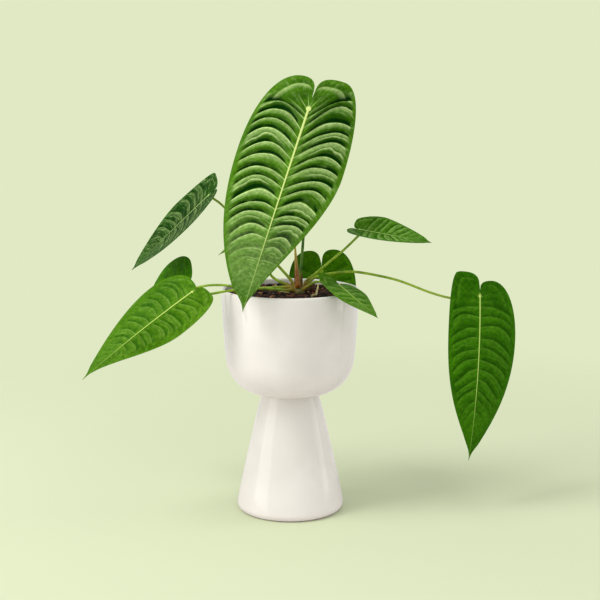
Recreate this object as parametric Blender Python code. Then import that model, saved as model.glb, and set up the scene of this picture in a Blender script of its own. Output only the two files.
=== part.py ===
"""Potted king anthurium: a climbing aroid with nine pleated heart-shaped leaves on long
stalks, in a white glazed bowl that sits on its own tapered stand.

Metres, +Z up. The origin is the middle of the stand's flat underside, and the front of the
plant faces -Y.
"""
import math

import bmesh
import bpy
import numpy as np

# The gap that touching pieces keep
GAP = 0.0003

# Planter: a bowl on a hollow stand, both turned about the Z axis. Places on a profile are
# (radius, height), and a pull is a control point of a curved stretch
SIDES = 40
STAND_HEIGHT = 0.158
STAND_FOOT_RADIUS = 0.0708
STAND_FOOT_ROUNDING = 0.0080
STAND_NECK = (0.0440, 0.132)
STAND_NECK_PULL = (0.0428, 0.1375)
STAND_SEAT_RADIUS = 0.0372
STAND_SEAT_PULL = (0.0398, 0.1455)
STAND_WALL = 0.006
STAND_FLOOR = 0.008
STAND_LIP = 0.0067
STAND_HOLLOW = ((0.0638, 0.016), (0.0588, STAND_FLOOR))
RIM_HEIGHT = 0.2975
RIM_RADIUS = 0.090
RIM_WALL = 0.005
BOWL_FLARE = (0.0885, 0.246)
BOWL_TURN = (0.0848, 0.205)
BOWL_TURN_PULL = (0.0818, 0.1755)
BOWL_BASE_PULL = (0.0600, 0.1585)
BOWL_BASE_RADIUS = 0.037
BOWL_STEPS = 7
BOWL_FLOOR = 0.0070
BOWL_FOOT_RADIUS = 0.0290
BOWL_FOOT_DEPTH = 0.0050
DRAIN_RADIUS = 0.0070
HOLLOW_FLARE = (0.0838, 0.262)
HOLLOW_TURN = (0.0794, 0.206)
HOLLOW_TURN_PULL = (0.0766, 0.181)
HOLLOW_FLOOR_PULL = (0.058, 0.004)
HOLLOW_FLOOR_RADIUS = 0.030
HOLLOW_STEPS = 5

# Soil, and the plant's crown in it
SOIL_EDGE_HEIGHT = 0.2900
SOIL_MOUND = 0.0012
SOIL_LUMP = 0.0009
SOIL_RINGS = 9
SOIL_EDGE_GAP = 0.0006
SOIL_CALM_RADIUS = 0.045
SOIL_CALM_LEAST = 0.25
CROWN = np.array((0.011, 0.0, 0.2915))
CROWN_RADIUS = 0.0085
CROWN_DEPTH = 0.020
CROWN_SIDES = 16
CROWN_FOOT = (0.7, 0.001)
CROWN_BODY_HEIGHT = 0.006

# Leaf blades and stalks
BLADE_THICKNESS = 0.0010
RIB_WIDTH = 0.0022
RIB_RISE = 0.0004
RIB_KEEL = 0.0010
RIB_SHARE = 0.15
RIB_END = 0.97
LARGE_COLUMNS = (0.0, "rib", 0.24, 0.46, 0.68, 0.86, 1.0)
SMALL_COLUMNS = (0.0, "rib", 0.30, 0.58, 0.84, 1.0)
LARGE_LENGTH = 0.25
MARGIN_STEPS = 40
SINUS_GAP = 0.0006
LOBE_PULLS = (0.7, 0.3)
SIDE_PULL = 0.6
TIP_PULL = 0.84
TIP_DRIP = 0.6
TIP_DRIP_START = 0.89
STALK_SIDES = 7
STALK_TOP_RADIUS = 0.0016
STALK_BASE_RADIUS = 0.0021
STALK_GAP = 0.0004
STALK_SEAT = CROWN_RADIUS + STALK_GAP
STALK_LEAD = 0.005
STALK_STEP = 0.011

# Side veins and the folds between them, counted from the lip of the sinus. The first LOBE_FOLDS
# fan out over the lobe, and the rest start ever further down the midrib
LOBE_FOLDS = 2.0
LOBE_CUSHION = 0.45
LOBE_HOLD = 0.45
START_LAG = 1.2
VEIN_SWING = 0.25
VEIN_BEND = 0.58
ARCH_GROWTH = (1.0, 3.5)
FOLD_POWER = 1.5
FOLD_GROWTH = 0.6
FOLD_LOSS = 0.93
FOLD_LOSS_REACH = (0.50, 0.86)
FOLD_INNER_END = (0.02, 0.16)
FOLD_OUTER_END = (0.70, 0.84)
FOLD_OUTER_GROWTH = (1.0, 4.0)
FOLD_OUTER_LENGTH = 0.13

# Each leaf. at and tip are the two ends of the midrib, face is the side that the upper surface
# looks to, bow bends the midrib towards that side and sway bends it sideways. droop lowers the
# two halves, in degrees. A half is its width, then the reach of its lobe, the place of the
# lobe's crest, the place of the widest point, how full the margin stays below it and how blunt
# it comes to the tip, all as shares of the length or of the width. pleats and depth are the
# number and the height of the folds on each half, lean moves the outer ends of its veins towards
# the tip, as a share of the length, and arch bends the veins. root is where the stalk leaves the
# crown, as compass angle and rise in degrees, via its way from there, and neck the length of its
# last turn, behind the blade.
LEAVES = {
    "leaf_1": dict(
        at=(0.0238, -0.0300, 0.5300), tip=(-0.0572, -0.1160, 0.2853), face=(-0.03, -0.94, 0.34),
        bow=-0.001, sway=0.0005, droop=(7, 8), curl=0.6, back=1.0, notch=0.5,
        right=(0.0672, 0.178, 0.50, 0.26, 0.34, 0.05), left=(0.0724, 0.152, 0.26, 0.26, 0.48, 0.56),
        pleats=21, depth=0.0020, lean=(-0.07, 0.07), arch=0.52, root=(60, 62), neck=0.010,
        via=((0.0135, 0.0045, 0.313), (0.0167, 0.005, 0.354), (0.0208, 0.004, 0.412),
             (0.0233, 0.002, 0.477), (0.0240, -0.006, 0.510))),
    "leaf_2": dict(
        at=(-0.1087, 0.0500, 0.4144), tip=(-0.2109, 0.0300, 0.3169), face=(-0.46, -0.64, 0.61),
        bow=-0.0075, sway=0.0092, droop=(-25, 7), curl=0.0, back=1.0, notch=0.5,
        right=(0.0416, 0.109, 0.15, 0.30, 0.56, 0.72), left=(0.0403, 0.143, 0.74, 0.29, 0.22, 0.32),
        pleats=13, depth=0.0007, lean=(0.28, 0.08), arch=0.35, root=(112, 30), neck=0.009,
        via=((-0.0015, 0.0145, 0.3087), (-0.0124, 0.018, 0.3204), (-0.0493, 0.030, 0.3584),
             (-0.0871, 0.048, 0.3979))),
    "leaf_3": dict(
        at=(-0.1440, 0.0300, 0.2913), tip=(-0.2180, 0.0950, 0.2140), face=(-0.62, -0.70, 0.25),
        bow=0.003, sway=0.0, droop=(12, 8), curl=1.0, back=1.0, notch=0.4,
        right=(0.0360, 0.150, 0.45, 0.25, 0.35, 0.30), left=(0.0545, 0.200, 0.46, 0.17, 0.36, 0.18),
        pleats=9, depth=0.0006, lean=(0.0, 0.0), arch=0.35, root=(182, 30), neck=0.008,
        via=((-0.0070, -0.0005, 0.2985), (-0.0400, -0.003, 0.2975), (-0.0730, 0.000, 0.2990),
             (-0.0880, 0.004, 0.3004), (-0.1100, 0.013, 0.2985))),
    "leaf_4": dict(
        at=(-0.1233, -0.0620, 0.3017), tip=(-0.2559, -0.1120, 0.1999), face=(-0.19, -0.76, 0.62),
        bow=0.0015, sway=0.0015, droop=(10, 10), curl=0.5, back=1.0, notch=0.5,
        right=(0.0370, 0.098, 0.54, 0.26, 0.36, -0.10), left=(0.0500, 0.060, 0.40, 0.19, 0.34, 0.25),
        pleats=17, depth=0.0009, lean=(0.02, 0.10), arch=0.42, root=(220, 20), neck=0.008,
        via=((-0.0040, -0.0125, 0.2962), (-0.0409, -0.035, 0.3020), (-0.0728, -0.050, 0.3020),
             (-0.0990, -0.0560, 0.2985))),
    "leaf_5": dict(
        at=(0.0900, -0.0100, 0.3750), tip=(0.1793, -0.0500, 0.3629), face=(-0.06, -0.32, 0.95),
        bow=0.003, sway=0.006, droop=(-30, -10), curl=0.0, back=-12.0, notch=0.4,
        right=(0.0254, 0.120, 0.42, 0.26, 0.14, 0.50), left=(0.0268, 0.110, 0.34, 0.32, 0.36, 0.50),
        pleats=12, depth=0.0006, lean=(0.25, 0.26), arch=0.10, root=(34, 30), neck=0.004,
        via=((0.0205, 0.0065, 0.3046), (0.0262, 0.0055, 0.3099), (0.0392, 0.003, 0.3206),
             (0.0507, 0.002, 0.3308), (0.0698, -0.002, 0.3476))),
    "leaf_6": dict(
        at=(0.2463, -0.0200, 0.2898), tip=(0.2341, -0.0350, 0.0737), face=(0.14, -0.99, 0.06),
        bow=0.0035, sway=-0.0033, droop=(12, 12), curl=0.4, back=1.0, notch=0.5,
        right=(0.0530, 0.090, 0.30, 0.26, 0.49, 0.28), left=(0.0402, 0.150, 0.68, 0.25, 0.62, 0.10),
        pleats=17, depth=0.0009, lean=(0.15, 0.13), arch=0.32, root=(-2, 30), neck=0.012,
        via=((0.0274, 0.000, 0.3080), (0.0379, 0.002, 0.3132), (0.0497, 0.003, 0.3154),
             (0.0715, 0.004, 0.3179), (0.0878, 0.005, 0.3177), (0.1144, 0.006, 0.3130),
             (0.1444, 0.006, 0.3056), (0.1840, 0.006, 0.2905), (0.2093, 0.005, 0.2835),
             (0.2290, 0.001, 0.2830))),
    "leaf_7": dict(
        at=(0.0638, -0.0520, 0.3082), tip=(0.1085, -0.1150, 0.2776), face=(0.20, -0.34, 0.92),
        bow=0.002, sway=0.003, droop=(8, -8), curl=0.0, back=-18.0, notch=0.4,
        right=(0.0261, 0.070, 0.49, 0.26, 0.20, 0.35), left=(0.0266, 0.243, 0.86, 0.33, 0.44, 0.15),
        pleats=8, depth=0.0006, lean=(0.10, 0.10), arch=0.30, root=(-40, 30), neck=0.005,
        via=((0.0239, -0.0115, 0.3017), (0.0311, -0.018, 0.3070), (0.0396, -0.026, 0.3095),
             (0.0514, -0.038, 0.3052))),
    "leaf_8": dict(
        at=(0.0431, 0.1000, 0.3099), tip=(0.0510, 0.1450, 0.1850), face=(0.00, 0.93, 0.36),
        bow=0.004, sway=0.0, droop=(10, 10), curl=0.6, back=1.0, notch=0.15,
        right=(0.0480, 0.245, 0.42, 0.20, 0.42, 0.25), left=(0.0470, 0.245, 0.42, 0.20, 0.42, 0.25),
        pleats=8, depth=0.0005, lean=(0.0, 0.0), arch=0.35, root=(72, 30), neck=0.009,
        via=((0.0205, 0.022, 0.3005), (0.0292, 0.050, 0.3046), (0.0377, 0.080, 0.3071))),
    "leaf_9": dict(
        at=(-0.0373, 0.0200, 0.3745), tip=(-0.0931, -0.0100, 0.3418), face=(-0.30, -0.50, 0.80),
        bow=0.002, sway=0.0, droop=(12, 12), curl=0.5, back=1.0, notch=0.4,
        right=(0.0170, 0.130, 0.45, 0.28, 0.30, 0.00), left=(0.0170, 0.130, 0.45, 0.28, 0.30, 0.00),
        pleats=4, depth=0.0005, lean=(0.0, 0.0), arch=0.30, root=(147, 30), neck=0.007,
        via=((-0.0060, 0.0065, 0.3015), (-0.0246, 0.013, 0.3115), (-0.0340, 0.014, 0.3360),
             (-0.0370, 0.0155, 0.3570))),
}

# The rolled new leaf, two dried sheaths at the crown and two roots on the soil
SHOOT_LENGTH = 0.056
SHOOT_RADIUS = 0.0030
SHOOT_TAPER = 0.82
SHOOT_LEAD = 0.004
SHOOT_BEND = 0.012
SHOOT_STEP = 0.007
SHOOT_ROOT = (-100, 62)
SHOOT_LEAN = (-0.07, 0.01, 1.0)
SHEATH_LENGTH = 0.015
SHEATH_WIDTH = 0.0034
SHEATH_THICKNESS = 0.0008
SHEATH_TIP_WIDTH = 0.0004
SHEATH_TAPER = 0.6
SHEATH_SPREAD = 0.003
SHEATH_TILT = 0.2
SHEATH_CUP = 0.25
SHEATH_RINGS = 6
SHEATH_ROOTS = {"dried_sheath_1": (176, 62), "dried_sheath_2": (-28, 62)}
ROOTS = {
    "root_1": dict(radius=0.0015, way=((0.0280, -0.0380), (0.0335, -0.0284), (0.0350, 0.0000),
                                       (0.0362, 0.0221), (0.0380, 0.0700))),
    "root_2": dict(radius=0.0010, way=((-0.0010, -0.0085), (-0.0120, -0.0030), (-0.0165, 0.0150),
                                       (-0.0185, 0.0400), (-0.0210, 0.0660))),
}
ROOT_LIFT = 0.0006
ROOT_TAPER = 0.45
ROOT_STEP = 0.006

# Name: base colour, roughness, coat
FINISHES = {
    "white_glaze": ((0.80, 0.78, 0.73), 0.12, 0.5),
    "soil": ((0.035, 0.020, 0.012), 0.95, 0.0),
    "dark_leaf": ((0.035, 0.155, 0.018), 0.38, 0.1),
    "bright_leaf": ((0.085, 0.260, 0.025), 0.40, 0.1),
    "stalk": ((0.150, 0.260, 0.045), 0.45, 0.0),
    "shoot": ((0.330, 0.190, 0.050), 0.50, 0.0),
    "sheath": ((0.110, 0.035, 0.020), 0.70, 0.0),
    "root": ((0.560, 0.480, 0.300), 0.65, 0.0),
}
BRIGHT_LEAVES = ("leaf_4", "leaf_7", "leaf_9")


def finish(name):
    """The material of one finish, made once."""
    material = bpy.data.materials.get(name)
    if material is None:
        colour, roughness, coat = FINISHES[name]
        material = bpy.data.materials.new(name)
        material.use_nodes = True
        shader = material.node_tree.nodes["Principled BSDF"]
        shader.inputs["Base Color"].default_value = (*colour, 1.0)
        shader.inputs["Roughness"].default_value = roughness
        shader.inputs["Coat Weight"].default_value = coat
    return material


def add_piece(name, points, faces, finish_name, smooth_angle=40):
    """A closed mesh object from its points and faces."""
    mesh = bpy.data.meshes.new(name)
    mesh.from_pydata([tuple(map(float, p)) for p in points], [], faces)
    mesh.update()
    mesh.materials.append(finish(finish_name))
    mesh.shade_smooth()
    mesh.set_sharp_from_angle(angle=math.radians(smooth_angle))
    piece = bpy.data.objects.new(name, mesh)
    bpy.context.scene.collection.objects.link(piece)
    return piece


def unit(vector):
    vector = np.asarray(vector, float)
    return vector / np.linalg.norm(vector)


def bezier(a, b, c, d, steps):
    """Points along a cubic curve, both ends included."""
    t = np.linspace(0.0, 1.0, steps + 1)[:, None]
    a, b, c, d = (np.asarray(p, float) for p in (a, b, c, d))
    return a * (1 - t) ** 3 + 3 * b * t * (1 - t) ** 2 + 3 * c * t * t * (1 - t) + d * t ** 3


def arc(centre, radius, start, end, steps):
    """Points round a circle, from one angle in degrees to another."""
    angles = np.radians(np.linspace(start, end, steps + 1))
    return np.column_stack((centre[0] + radius * np.cos(angles),
                            centre[1] + radius * np.sin(angles)))


def smooth_path(points, step):
    """A curve through the points, cut into pieces about one step long."""
    points = [np.asarray(p, float) for p in points]
    ends = [2 * points[0] - points[1]] + points + [2 * points[-1] - points[-2]]
    path = [points[0]]
    for a, b, c, d in zip(ends, ends[1:], ends[2:], ends[3:]):
        cuts = max(1, round(np.linalg.norm(c - b) / step))
        curve = bezier(b, b + (c - a) / 6, c - (d - b) / 6, c, cuts)
        path.extend(curve[1:])
    return path


def turned(name, profile, finish_name, centre=(0.0, 0.0), sides=SIDES):
    """A solid of revolution about an upright axis. The profile runs (radius, height) with the
    solid on its left, and is either closed or has both ends on the axis."""
    points, rings = [], []
    for radius, height in profile:
        if radius < 1e-6:
            rings.append([len(points)])
            points.append((centre[0], centre[1], height))
            continue
        rings.append(list(range(len(points), len(points) + sides)))
        for side in range(sides):
            turn = 2 * math.pi * side / sides
            points.append((centre[0] + radius * math.cos(turn),
                           centre[1] + radius * math.sin(turn), height))
    pairs = list(zip(rings, rings[1:]))
    if len(rings[0]) > 1 and len(rings[-1]) > 1:
        pairs.append((rings[-1], rings[0]))
    faces = []
    for low, high in pairs:
        for side in range(sides):
            after = (side + 1) % sides
            if len(low) == 1:
                faces.append((low[0], high[after], high[side]))
            elif len(high) == 1:
                faces.append((low[side], low[after], high[0]))
            else:
                faces.append((low[side], low[after], high[after], high[side]))
    return add_piece(name, points, faces, finish_name)


def build_stand():
    """A tapered pot with a closed, flat underside. Its mouth takes the bowl's foot."""
    top = STAND_HEIGHT - GAP
    outer_foot = arc((STAND_FOOT_RADIUS - STAND_FOOT_ROUNDING, STAND_FOOT_ROUNDING),
                     STAND_FOOT_ROUNDING, -90, 10, 6)
    shoulder = bezier(STAND_NECK, STAND_NECK_PULL, STAND_SEAT_PULL, (STAND_SEAT_RADIUS, top), 4)
    mouth = BOWL_FOOT_RADIUS + 3 * GAP
    inside = [(mouth, top), (mouth, top - STAND_LIP),
              (STAND_NECK[0] - STAND_WALL, STAND_NECK[1] - STAND_WALL), *STAND_HOLLOW,
              (0.0, STAND_FLOOR)]
    turned("planter_stand", [(0.0, 0.0), *outer_foot, *shoulder, *inside], "white_glaze")


def bowl_inside():
    """The inner wall, from the rim down to the drain hole."""
    floor = STAND_HEIGHT + BOWL_FLOOR
    floor_pull = (HOLLOW_FLOOR_PULL[0], floor + HOLLOW_FLOOR_PULL[1])
    wall = bezier(HOLLOW_TURN, HOLLOW_TURN_PULL, floor_pull, (HOLLOW_FLOOR_RADIUS, floor),
                  HOLLOW_STEPS)
    return [(RIM_RADIUS - RIM_WALL, RIM_HEIGHT - RIM_WALL / 2), HOLLOW_FLARE, *wall,
            (DRAIN_RADIUS, floor)]


def build_bowl():
    """A U-shaped bowl with a rounded rim and a short foot, and a drain hole through the foot."""
    outer = bezier((BOWL_BASE_RADIUS, STAND_HEIGHT), BOWL_BASE_PULL, BOWL_TURN_PULL, BOWL_TURN,
                   BOWL_STEPS)
    rim = arc((RIM_RADIUS - RIM_WALL / 2, RIM_HEIGHT - RIM_WALL / 2), RIM_WALL / 2, 0, 180, 6)
    foot_low = STAND_HEIGHT - BOWL_FOOT_DEPTH
    foot = [(DRAIN_RADIUS, foot_low), (BOWL_FOOT_RADIUS, foot_low),
            (BOWL_FOOT_RADIUS, STAND_HEIGHT)]
    turned("planter_bowl", [*foot, *outer, BOWL_FLARE, *rim, *bowl_inside()[1:]], "white_glaze")


def soil_height(x, y):
    """The lumpy top of the soil, calmer round the crown."""
    spread = min(1.0, math.hypot(x, y) / RIM_RADIUS)
    away = math.hypot(x - CROWN[0], y - CROWN[1])
    calm = min(1.0, max(SOIL_CALM_LEAST, away / SOIL_CALM_RADIUS))
    lumps = math.sin(310 * x + 1.3) * math.cos(270 * y) + 0.7 * math.sin(190 * y - 240 * x)
    return SOIL_EDGE_HEIGHT + SOIL_MOUND * (1 - spread ** 2) + SOIL_LUMP * calm * lumps


def build_soil():
    """Potting mix that fills the bowl, with a plain hole that the crown stands in."""
    side = [(r - GAP, z + GAP) for r, z in bowl_inside()[1:-1]]
    edge = RIM_RADIUS - RIM_WALL - SOIL_EDGE_GAP
    low = [(0.0, side[-1][1]), *side[::-1]]
    top = [(edge * ring / SOIL_RINGS, SOIL_EDGE_HEIGHT) for ring in range(SOIL_RINGS, -1, -1)]
    soil = turned("soil", low + top, "soil")
    for vertex in soil.data.vertices:
        x, y, z = vertex.co
        if abs(z - SOIL_EDGE_HEIGHT) < 1e-6:
            vertex.co.z = soil_height(x, y)
    bpy.ops.mesh.primitive_cylinder_add(vertices=24, radius=CROWN_RADIUS + 2 * GAP,
                                        depth=2 * (CROWN_DEPTH + 2 * GAP), location=CROWN)
    cutter = bpy.context.object
    cutter.name = "crown_hole"
    cutter.hide_render = True
    cutter.display_type = "WIRE"
    hole = soil.modifiers.new("crown_hole", "BOOLEAN")
    hole.object = cutter
    hole.solver = "EXACT"


def build_crown():
    """The short stem: a knob above the soil on a stub that stands in the hole."""
    low = CROWN[2] - CROWN_DEPTH
    dome = arc((0.0, CROWN[2]), CROWN_RADIUS, 0, 90, 6)
    profile = [(0.0, low), (CROWN_RADIUS * CROWN_FOOT[0], low + CROWN_FOOT[1]),
               (CROWN_RADIUS, low + CROWN_BODY_HEIGHT), *dome[:-1],
               (0.0, CROWN[2] + CROWN_RADIUS)]
    turned("crown", profile, "stalk", centre=CROWN[:2], sides=CROWN_SIDES)


def crown_direction(angle, rise):
    """The outward direction at one place on the crown's dome."""
    angle, rise = math.radians(angle), math.radians(rise)
    return np.array((math.cos(rise) * math.cos(angle), math.cos(rise) * math.sin(angle),
                     math.sin(rise)))


def tube(name, path, radii, finish_name, sides=STALK_SIDES, first=None, last=None):
    """A round bar along a path, with flat ends square to the first and last directions."""
    path = [np.asarray(p, float) for p in path]
    tangents = [unit(b - a) for a, b in zip([path[0]] + path[:-1], path[1:] + [path[-1]])]
    tangents[0] = unit(path[1] - path[0]) if first is None else unit(first)
    tangents[-1] = unit(path[-1] - path[-2]) if last is None else unit(last)
    across = unit(np.cross(tangents[0], (0.31, 0.83, 0.47)))
    points = []
    for place, tangent, radius in zip(path, tangents, radii):
        across = unit(across - tangent * (across @ tangent))
        up = np.cross(tangent, across)
        for side in range(sides):
            turn = 2 * math.pi * side / sides
            points.append(place + radius * (across * math.cos(turn) + up * math.sin(turn)))
    faces = []
    for ring in range(len(path) - 1):
        for side in range(sides):
            after = (side + 1) % sides
            low, high = ring * sides, (ring + 1) * sides
            faces.append((low + side, low + after, high + after, high + side))
    faces.append(tuple(reversed(range(sides))))
    faces.append(tuple(range(len(points) - sides, len(points))))
    return add_piece(name, points, faces, finish_name, 60)


def ease(value, low, high):
    """A smooth step from 0 at low to 1 at high."""
    t = min(1.0, max(0.0, (value - low) / (high - low)))
    return t * t * (3 - 2 * t)


class Blade:
    """The surface of one leaf: a flat outline laid along a bent midrib."""

    def __init__(self, leaf):
        self.leaf = leaf
        self.at, self.tip = np.array(leaf["at"]), np.array(leaf["tip"])
        along = unit(self.tip - self.at)
        face = np.array(leaf["face"])
        self.face = unit(face - along * (face @ along))
        bend = leaf["bow"] * self.face + leaf["sway"] * np.cross(along, self.face)
        self.turn = (self.at + self.tip) / 2 + 2 * bend
        rib = np.array([self.midrib(t) for t in np.linspace(0.0, 1.0, 40)])
        self.length = np.linalg.norm(np.diff(rib, axis=0), axis=1).sum()

    def midrib(self, t):
        return self.at * (1 - t) ** 2 + 2 * self.turn * t * (1 - t) + self.tip * t * t

    def margin(self, side):
        """Half of the flat outline, as (across, along), from the lip of the sinus to the tip."""
        width, lobe, crest, widest, full, blunt = self.leaf["right" if side < 0 else "left"]
        lobe, crest, widest = lobe * self.length, crest * width, widest * self.length
        notch = self.leaf["notch"] * lobe
        inner = bezier((SINUS_GAP, -notch), (SINUS_GAP, -notch - LOBE_PULLS[0] * (lobe - notch)),
                       (LOBE_PULLS[1] * crest, -lobe), (crest, -lobe), MARGIN_STEPS)
        outer = bezier((crest, -lobe), (crest + SIDE_PULL * (width - crest), -lobe),
                       (width, widest - SIDE_PULL * (widest + lobe)), (width, widest), MARGIN_STEPS)
        below = bezier((width, widest), (width, widest + full * (self.length - widest)),
                       (blunt * width, TIP_PULL * self.length), (0.0, self.length), MARGIN_STEPS)
        line = np.vstack((inner, outer[1:], below[1:]))
        line[:, 0] *= [1 - TIP_DRIP * ease(along / self.length, TIP_DRIP_START, 1.0)
                       for along in line[:, 1]]
        return line

    def place(self, across, along, height):
        """The point in space of one flat place, with a height above the surface."""
        t = min(1.0, max(0.0, along / self.length))
        tangent = unit((self.turn - self.at) * (1 - t) + (self.tip - self.turn) * t)
        normal = unit(self.face - tangent * (self.face @ tangent))
        sideways = np.cross(tangent, normal)
        behind = min(along, 0.0)
        droop = math.radians(self.leaf["droop"][0 if across < 0 else 1])
        drop = (abs(across) * math.sin(droop) + self.leaf["curl"] * across ** 2
                + self.leaf["back"] * behind ** 2)
        return (self.midrib(t) + tangent * behind + sideways * across * math.cos(droop)
                + normal * (height - drop))


def vein_ends(blade, side, folds):
    """Where the side veins meet the margin, as (across, along)."""
    leaf = blade.leaf
    margin = blade.margin(side)
    steps = np.concatenate(([0.0], np.cumsum(np.linalg.norm(np.diff(margin, axis=0), axis=1))))
    lobe = leaf["right" if side < 0 else "left"][1]
    lean = leaf["lean"][0 if side < 0 else 1]
    wanted = []
    for fold in folds:
        k = max(0.0, (fold - LOBE_FOLDS) / (leaf["pleats"] - LOBE_FOLDS))
        share = k + (1 - k) * (VEIN_SWING * k - LOBE_HOLD * lobe) + lean * (1 - k * k)
        reached = np.interp(share * blade.length, margin[MARGIN_STEPS:, 1], steps[MARGIN_STEPS:])
        wanted.append(reached * min(1.0, fold / LOBE_FOLDS))
    return np.column_stack([np.interp(wanted, steps, margin[:, axis]) for axis in (0, 1)])


def fold_height(leaf, fold, reach, share):
    """The relief of the folds: a groove along each side vein and a round crest between two. It
    dies away at the midrib, at the margin and towards the tip."""
    phase = fold
    if fold < LOBE_FOLDS:
        phase = LOBE_FOLDS - (LOBE_FOLDS - fold) / (LOBE_FOLDS - LOBE_CUSHION)
    swell = 1 - 2 * abs(2 * (phase % 1.0) - 1) ** FOLD_POWER
    grown = ease(fold, LOBE_CUSHION, LOBE_CUSHION + FOLD_GROWTH)
    kept = 1 - FOLD_LOSS * ease(share, *FOLD_LOSS_REACH)
    outer = np.interp(ease(fold, *FOLD_OUTER_GROWTH), (0.0, 1.0), FOLD_OUTER_END)
    inside = ease(reach, *FOLD_INNER_END) * (1 - ease(reach, outer, outer + FOLD_OUTER_LENGTH))
    return leaf["depth"] * grown * kept * swell * inside


def vein_row(blade, side, fold, share, end, columns):
    """The flat places along one side vein or crest, from the midrib to the margin."""
    across, along = end
    start = share * blade.length
    bend = (start + along) / 2 - blade.leaf["arch"] * ease(fold, *ARCH_GROWTH) * across
    span = math.hypot(across, along - start)
    cells = []
    for column in columns:
        t = min(RIB_WIDTH / max(span, 1e-6), RIB_SHARE) if column == "rib" else column
        x = 2 * VEIN_BEND * across * t * (1 - t) + across * t * t
        y = start * (1 - t) ** 2 + 2 * bend * t * (1 - t) + along * t * t
        cells.append((side * x, y, fold_height(blade.leaf, fold, t, share), t))
    return cells


def build_blade(leaf):
    """The middle surface of a pleated blade: its flat places, its points and its triangles."""
    blade = Blade(leaf)
    large = blade.length > LARGE_LENGTH
    columns = LARGE_COLUMNS if large else SMALL_COLUMNS
    folds = [fold / 2 for fold in range(2 * leaf["pleats"] + 1)]
    if large:
        folds = sorted(folds + [fold + 0.25 for fold in folds if fold < LOBE_FOLDS])
    rows = len(folds) - 1
    ends = {side: vein_ends(blade, side, folds) for side in (-1, 1)}
    free = LOBE_FOLDS - START_LAG
    shares = [max(0.0, (fold - free) / (leaf["pleats"] - free)) for fold in folds]
    flat, numbers, index = [], {}, {}
    for side in (-1, 1):
        for row in range(rows + 1):
            cells = vein_row(blade, side, folds[row], shares[row], ends[side][row], columns)
            for column, cell in enumerate(cells):
                key = (side, row, column)
                if row == rows:
                    key = "tip"
                elif column == 0:
                    key = ("rib", round(shares[row], 6))
                if key not in numbers:
                    numbers[key] = len(flat)
                    flat.append(cell)
                index[side, row, column] = numbers[key]
    middle = np.array([blade.place(x, y, rise) for x, y, rise, t in flat])
    triangles = []
    for side in (-1, 1):
        for row in range(rows):
            for column in range(len(columns) - 1):
                a, b, c, d = (index[side, row + i, column + j]
                              for i, j in ((0, 0), (1, 0), (1, 1), (0, 1)))
                for corners in ((a, b, c), (a, c, d)):
                    if len(set(corners)) == 3:
                        triangles.append(corners if side < 0 else corners[::-1])
    return blade, flat, middle, triangles


def thicken(name, blade, flat, middle, triangles, finish_name):
    """Give the surface its thickness, its rib above and its keel below."""
    normals = np.zeros((len(middle), 3))
    for a, b, c in triangles:
        turn = np.cross(middle[b] - middle[a], middle[c] - middle[a])
        for corner in (a, b, c):
            normals[corner] += turn
    normals /= np.linalg.norm(normals, axis=1)[:, None]
    if (normals @ blade.face).sum() < 0:
        triangles = [corners[::-1] for corners in triangles]
        normals = -normals
    on_rib = np.array([1.0 if t == 0 and y < RIB_END * blade.length else 0.0
                       for x, y, rise, t in flat])
    half = BLADE_THICKNESS / 2
    top = middle + normals * (half + RIB_RISE * on_rib)[:, None]
    bottom = middle - normals * (half + RIB_KEEL * on_rib)[:, None]
    count = len(middle)
    faces = list(triangles) + [tuple(count + i for i in reversed(t)) for t in triangles]
    edges = {}
    for a, b, c in triangles:
        for edge in ((a, b), (b, c), (c, a)):
            edges[edge] = edges.get(edge, 0) + 1
    for a, b in edges:
        if (b, a) not in edges:
            faces.append((b, a, count + a))
            faces.append((b, count + a, count + b))
    return add_piece(name, np.vstack((top, bottom)), faces, finish_name, 55)


def build_leaf(name, leaf):
    """A blade, and its stalk from the crown to the back of the blade."""
    blade, flat, middle, triangles = build_blade(leaf)
    bright = name in BRIGHT_LEAVES
    thicken(name, blade, flat, middle, triangles, "bright_leaf" if bright else "dark_leaf")
    out = crown_direction(*leaf["root"])
    start = CROWN + out * STALK_SEAT
    tangent = unit(blade.turn - blade.at)
    back = unit(blade.face - tangent * (blade.face @ tangent))
    end = blade.at - back * (BLADE_THICKNESS / 2 + RIB_KEEL + STALK_GAP)
    path = smooth_path([start, start + out * STALK_LEAD, *leaf["via"],
                        end - back * leaf["neck"], end], STALK_STEP)
    steps = len(path) - 1
    radii = [STALK_TOP_RADIUS + (STALK_BASE_RADIUS - STALK_TOP_RADIUS) * (1 - i / steps) ** 3
             for i in range(steps + 1)]
    tube(name.replace("leaf", "stalk"), path, radii, "stalk", first=out, last=back)


def build_shoot():
    """The rolled new leaf in its sheath, a tapered spike on top of the crown."""
    out = crown_direction(*SHOOT_ROOT)
    start = CROWN + out * STALK_SEAT
    lean = unit(SHOOT_LEAN)
    foot = start + out * SHOOT_LEAD
    path = smooth_path([start, foot, foot + lean * SHOOT_BEND, foot + lean * SHOOT_LENGTH],
                       SHOOT_STEP)
    steps = len(path) - 1
    radii = [SHOOT_RADIUS * (1 - SHOOT_TAPER * (i / steps) ** 2) for i in range(steps + 1)]
    tube("new_shoot", path, radii, "shoot", sides=9, first=out)


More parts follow.
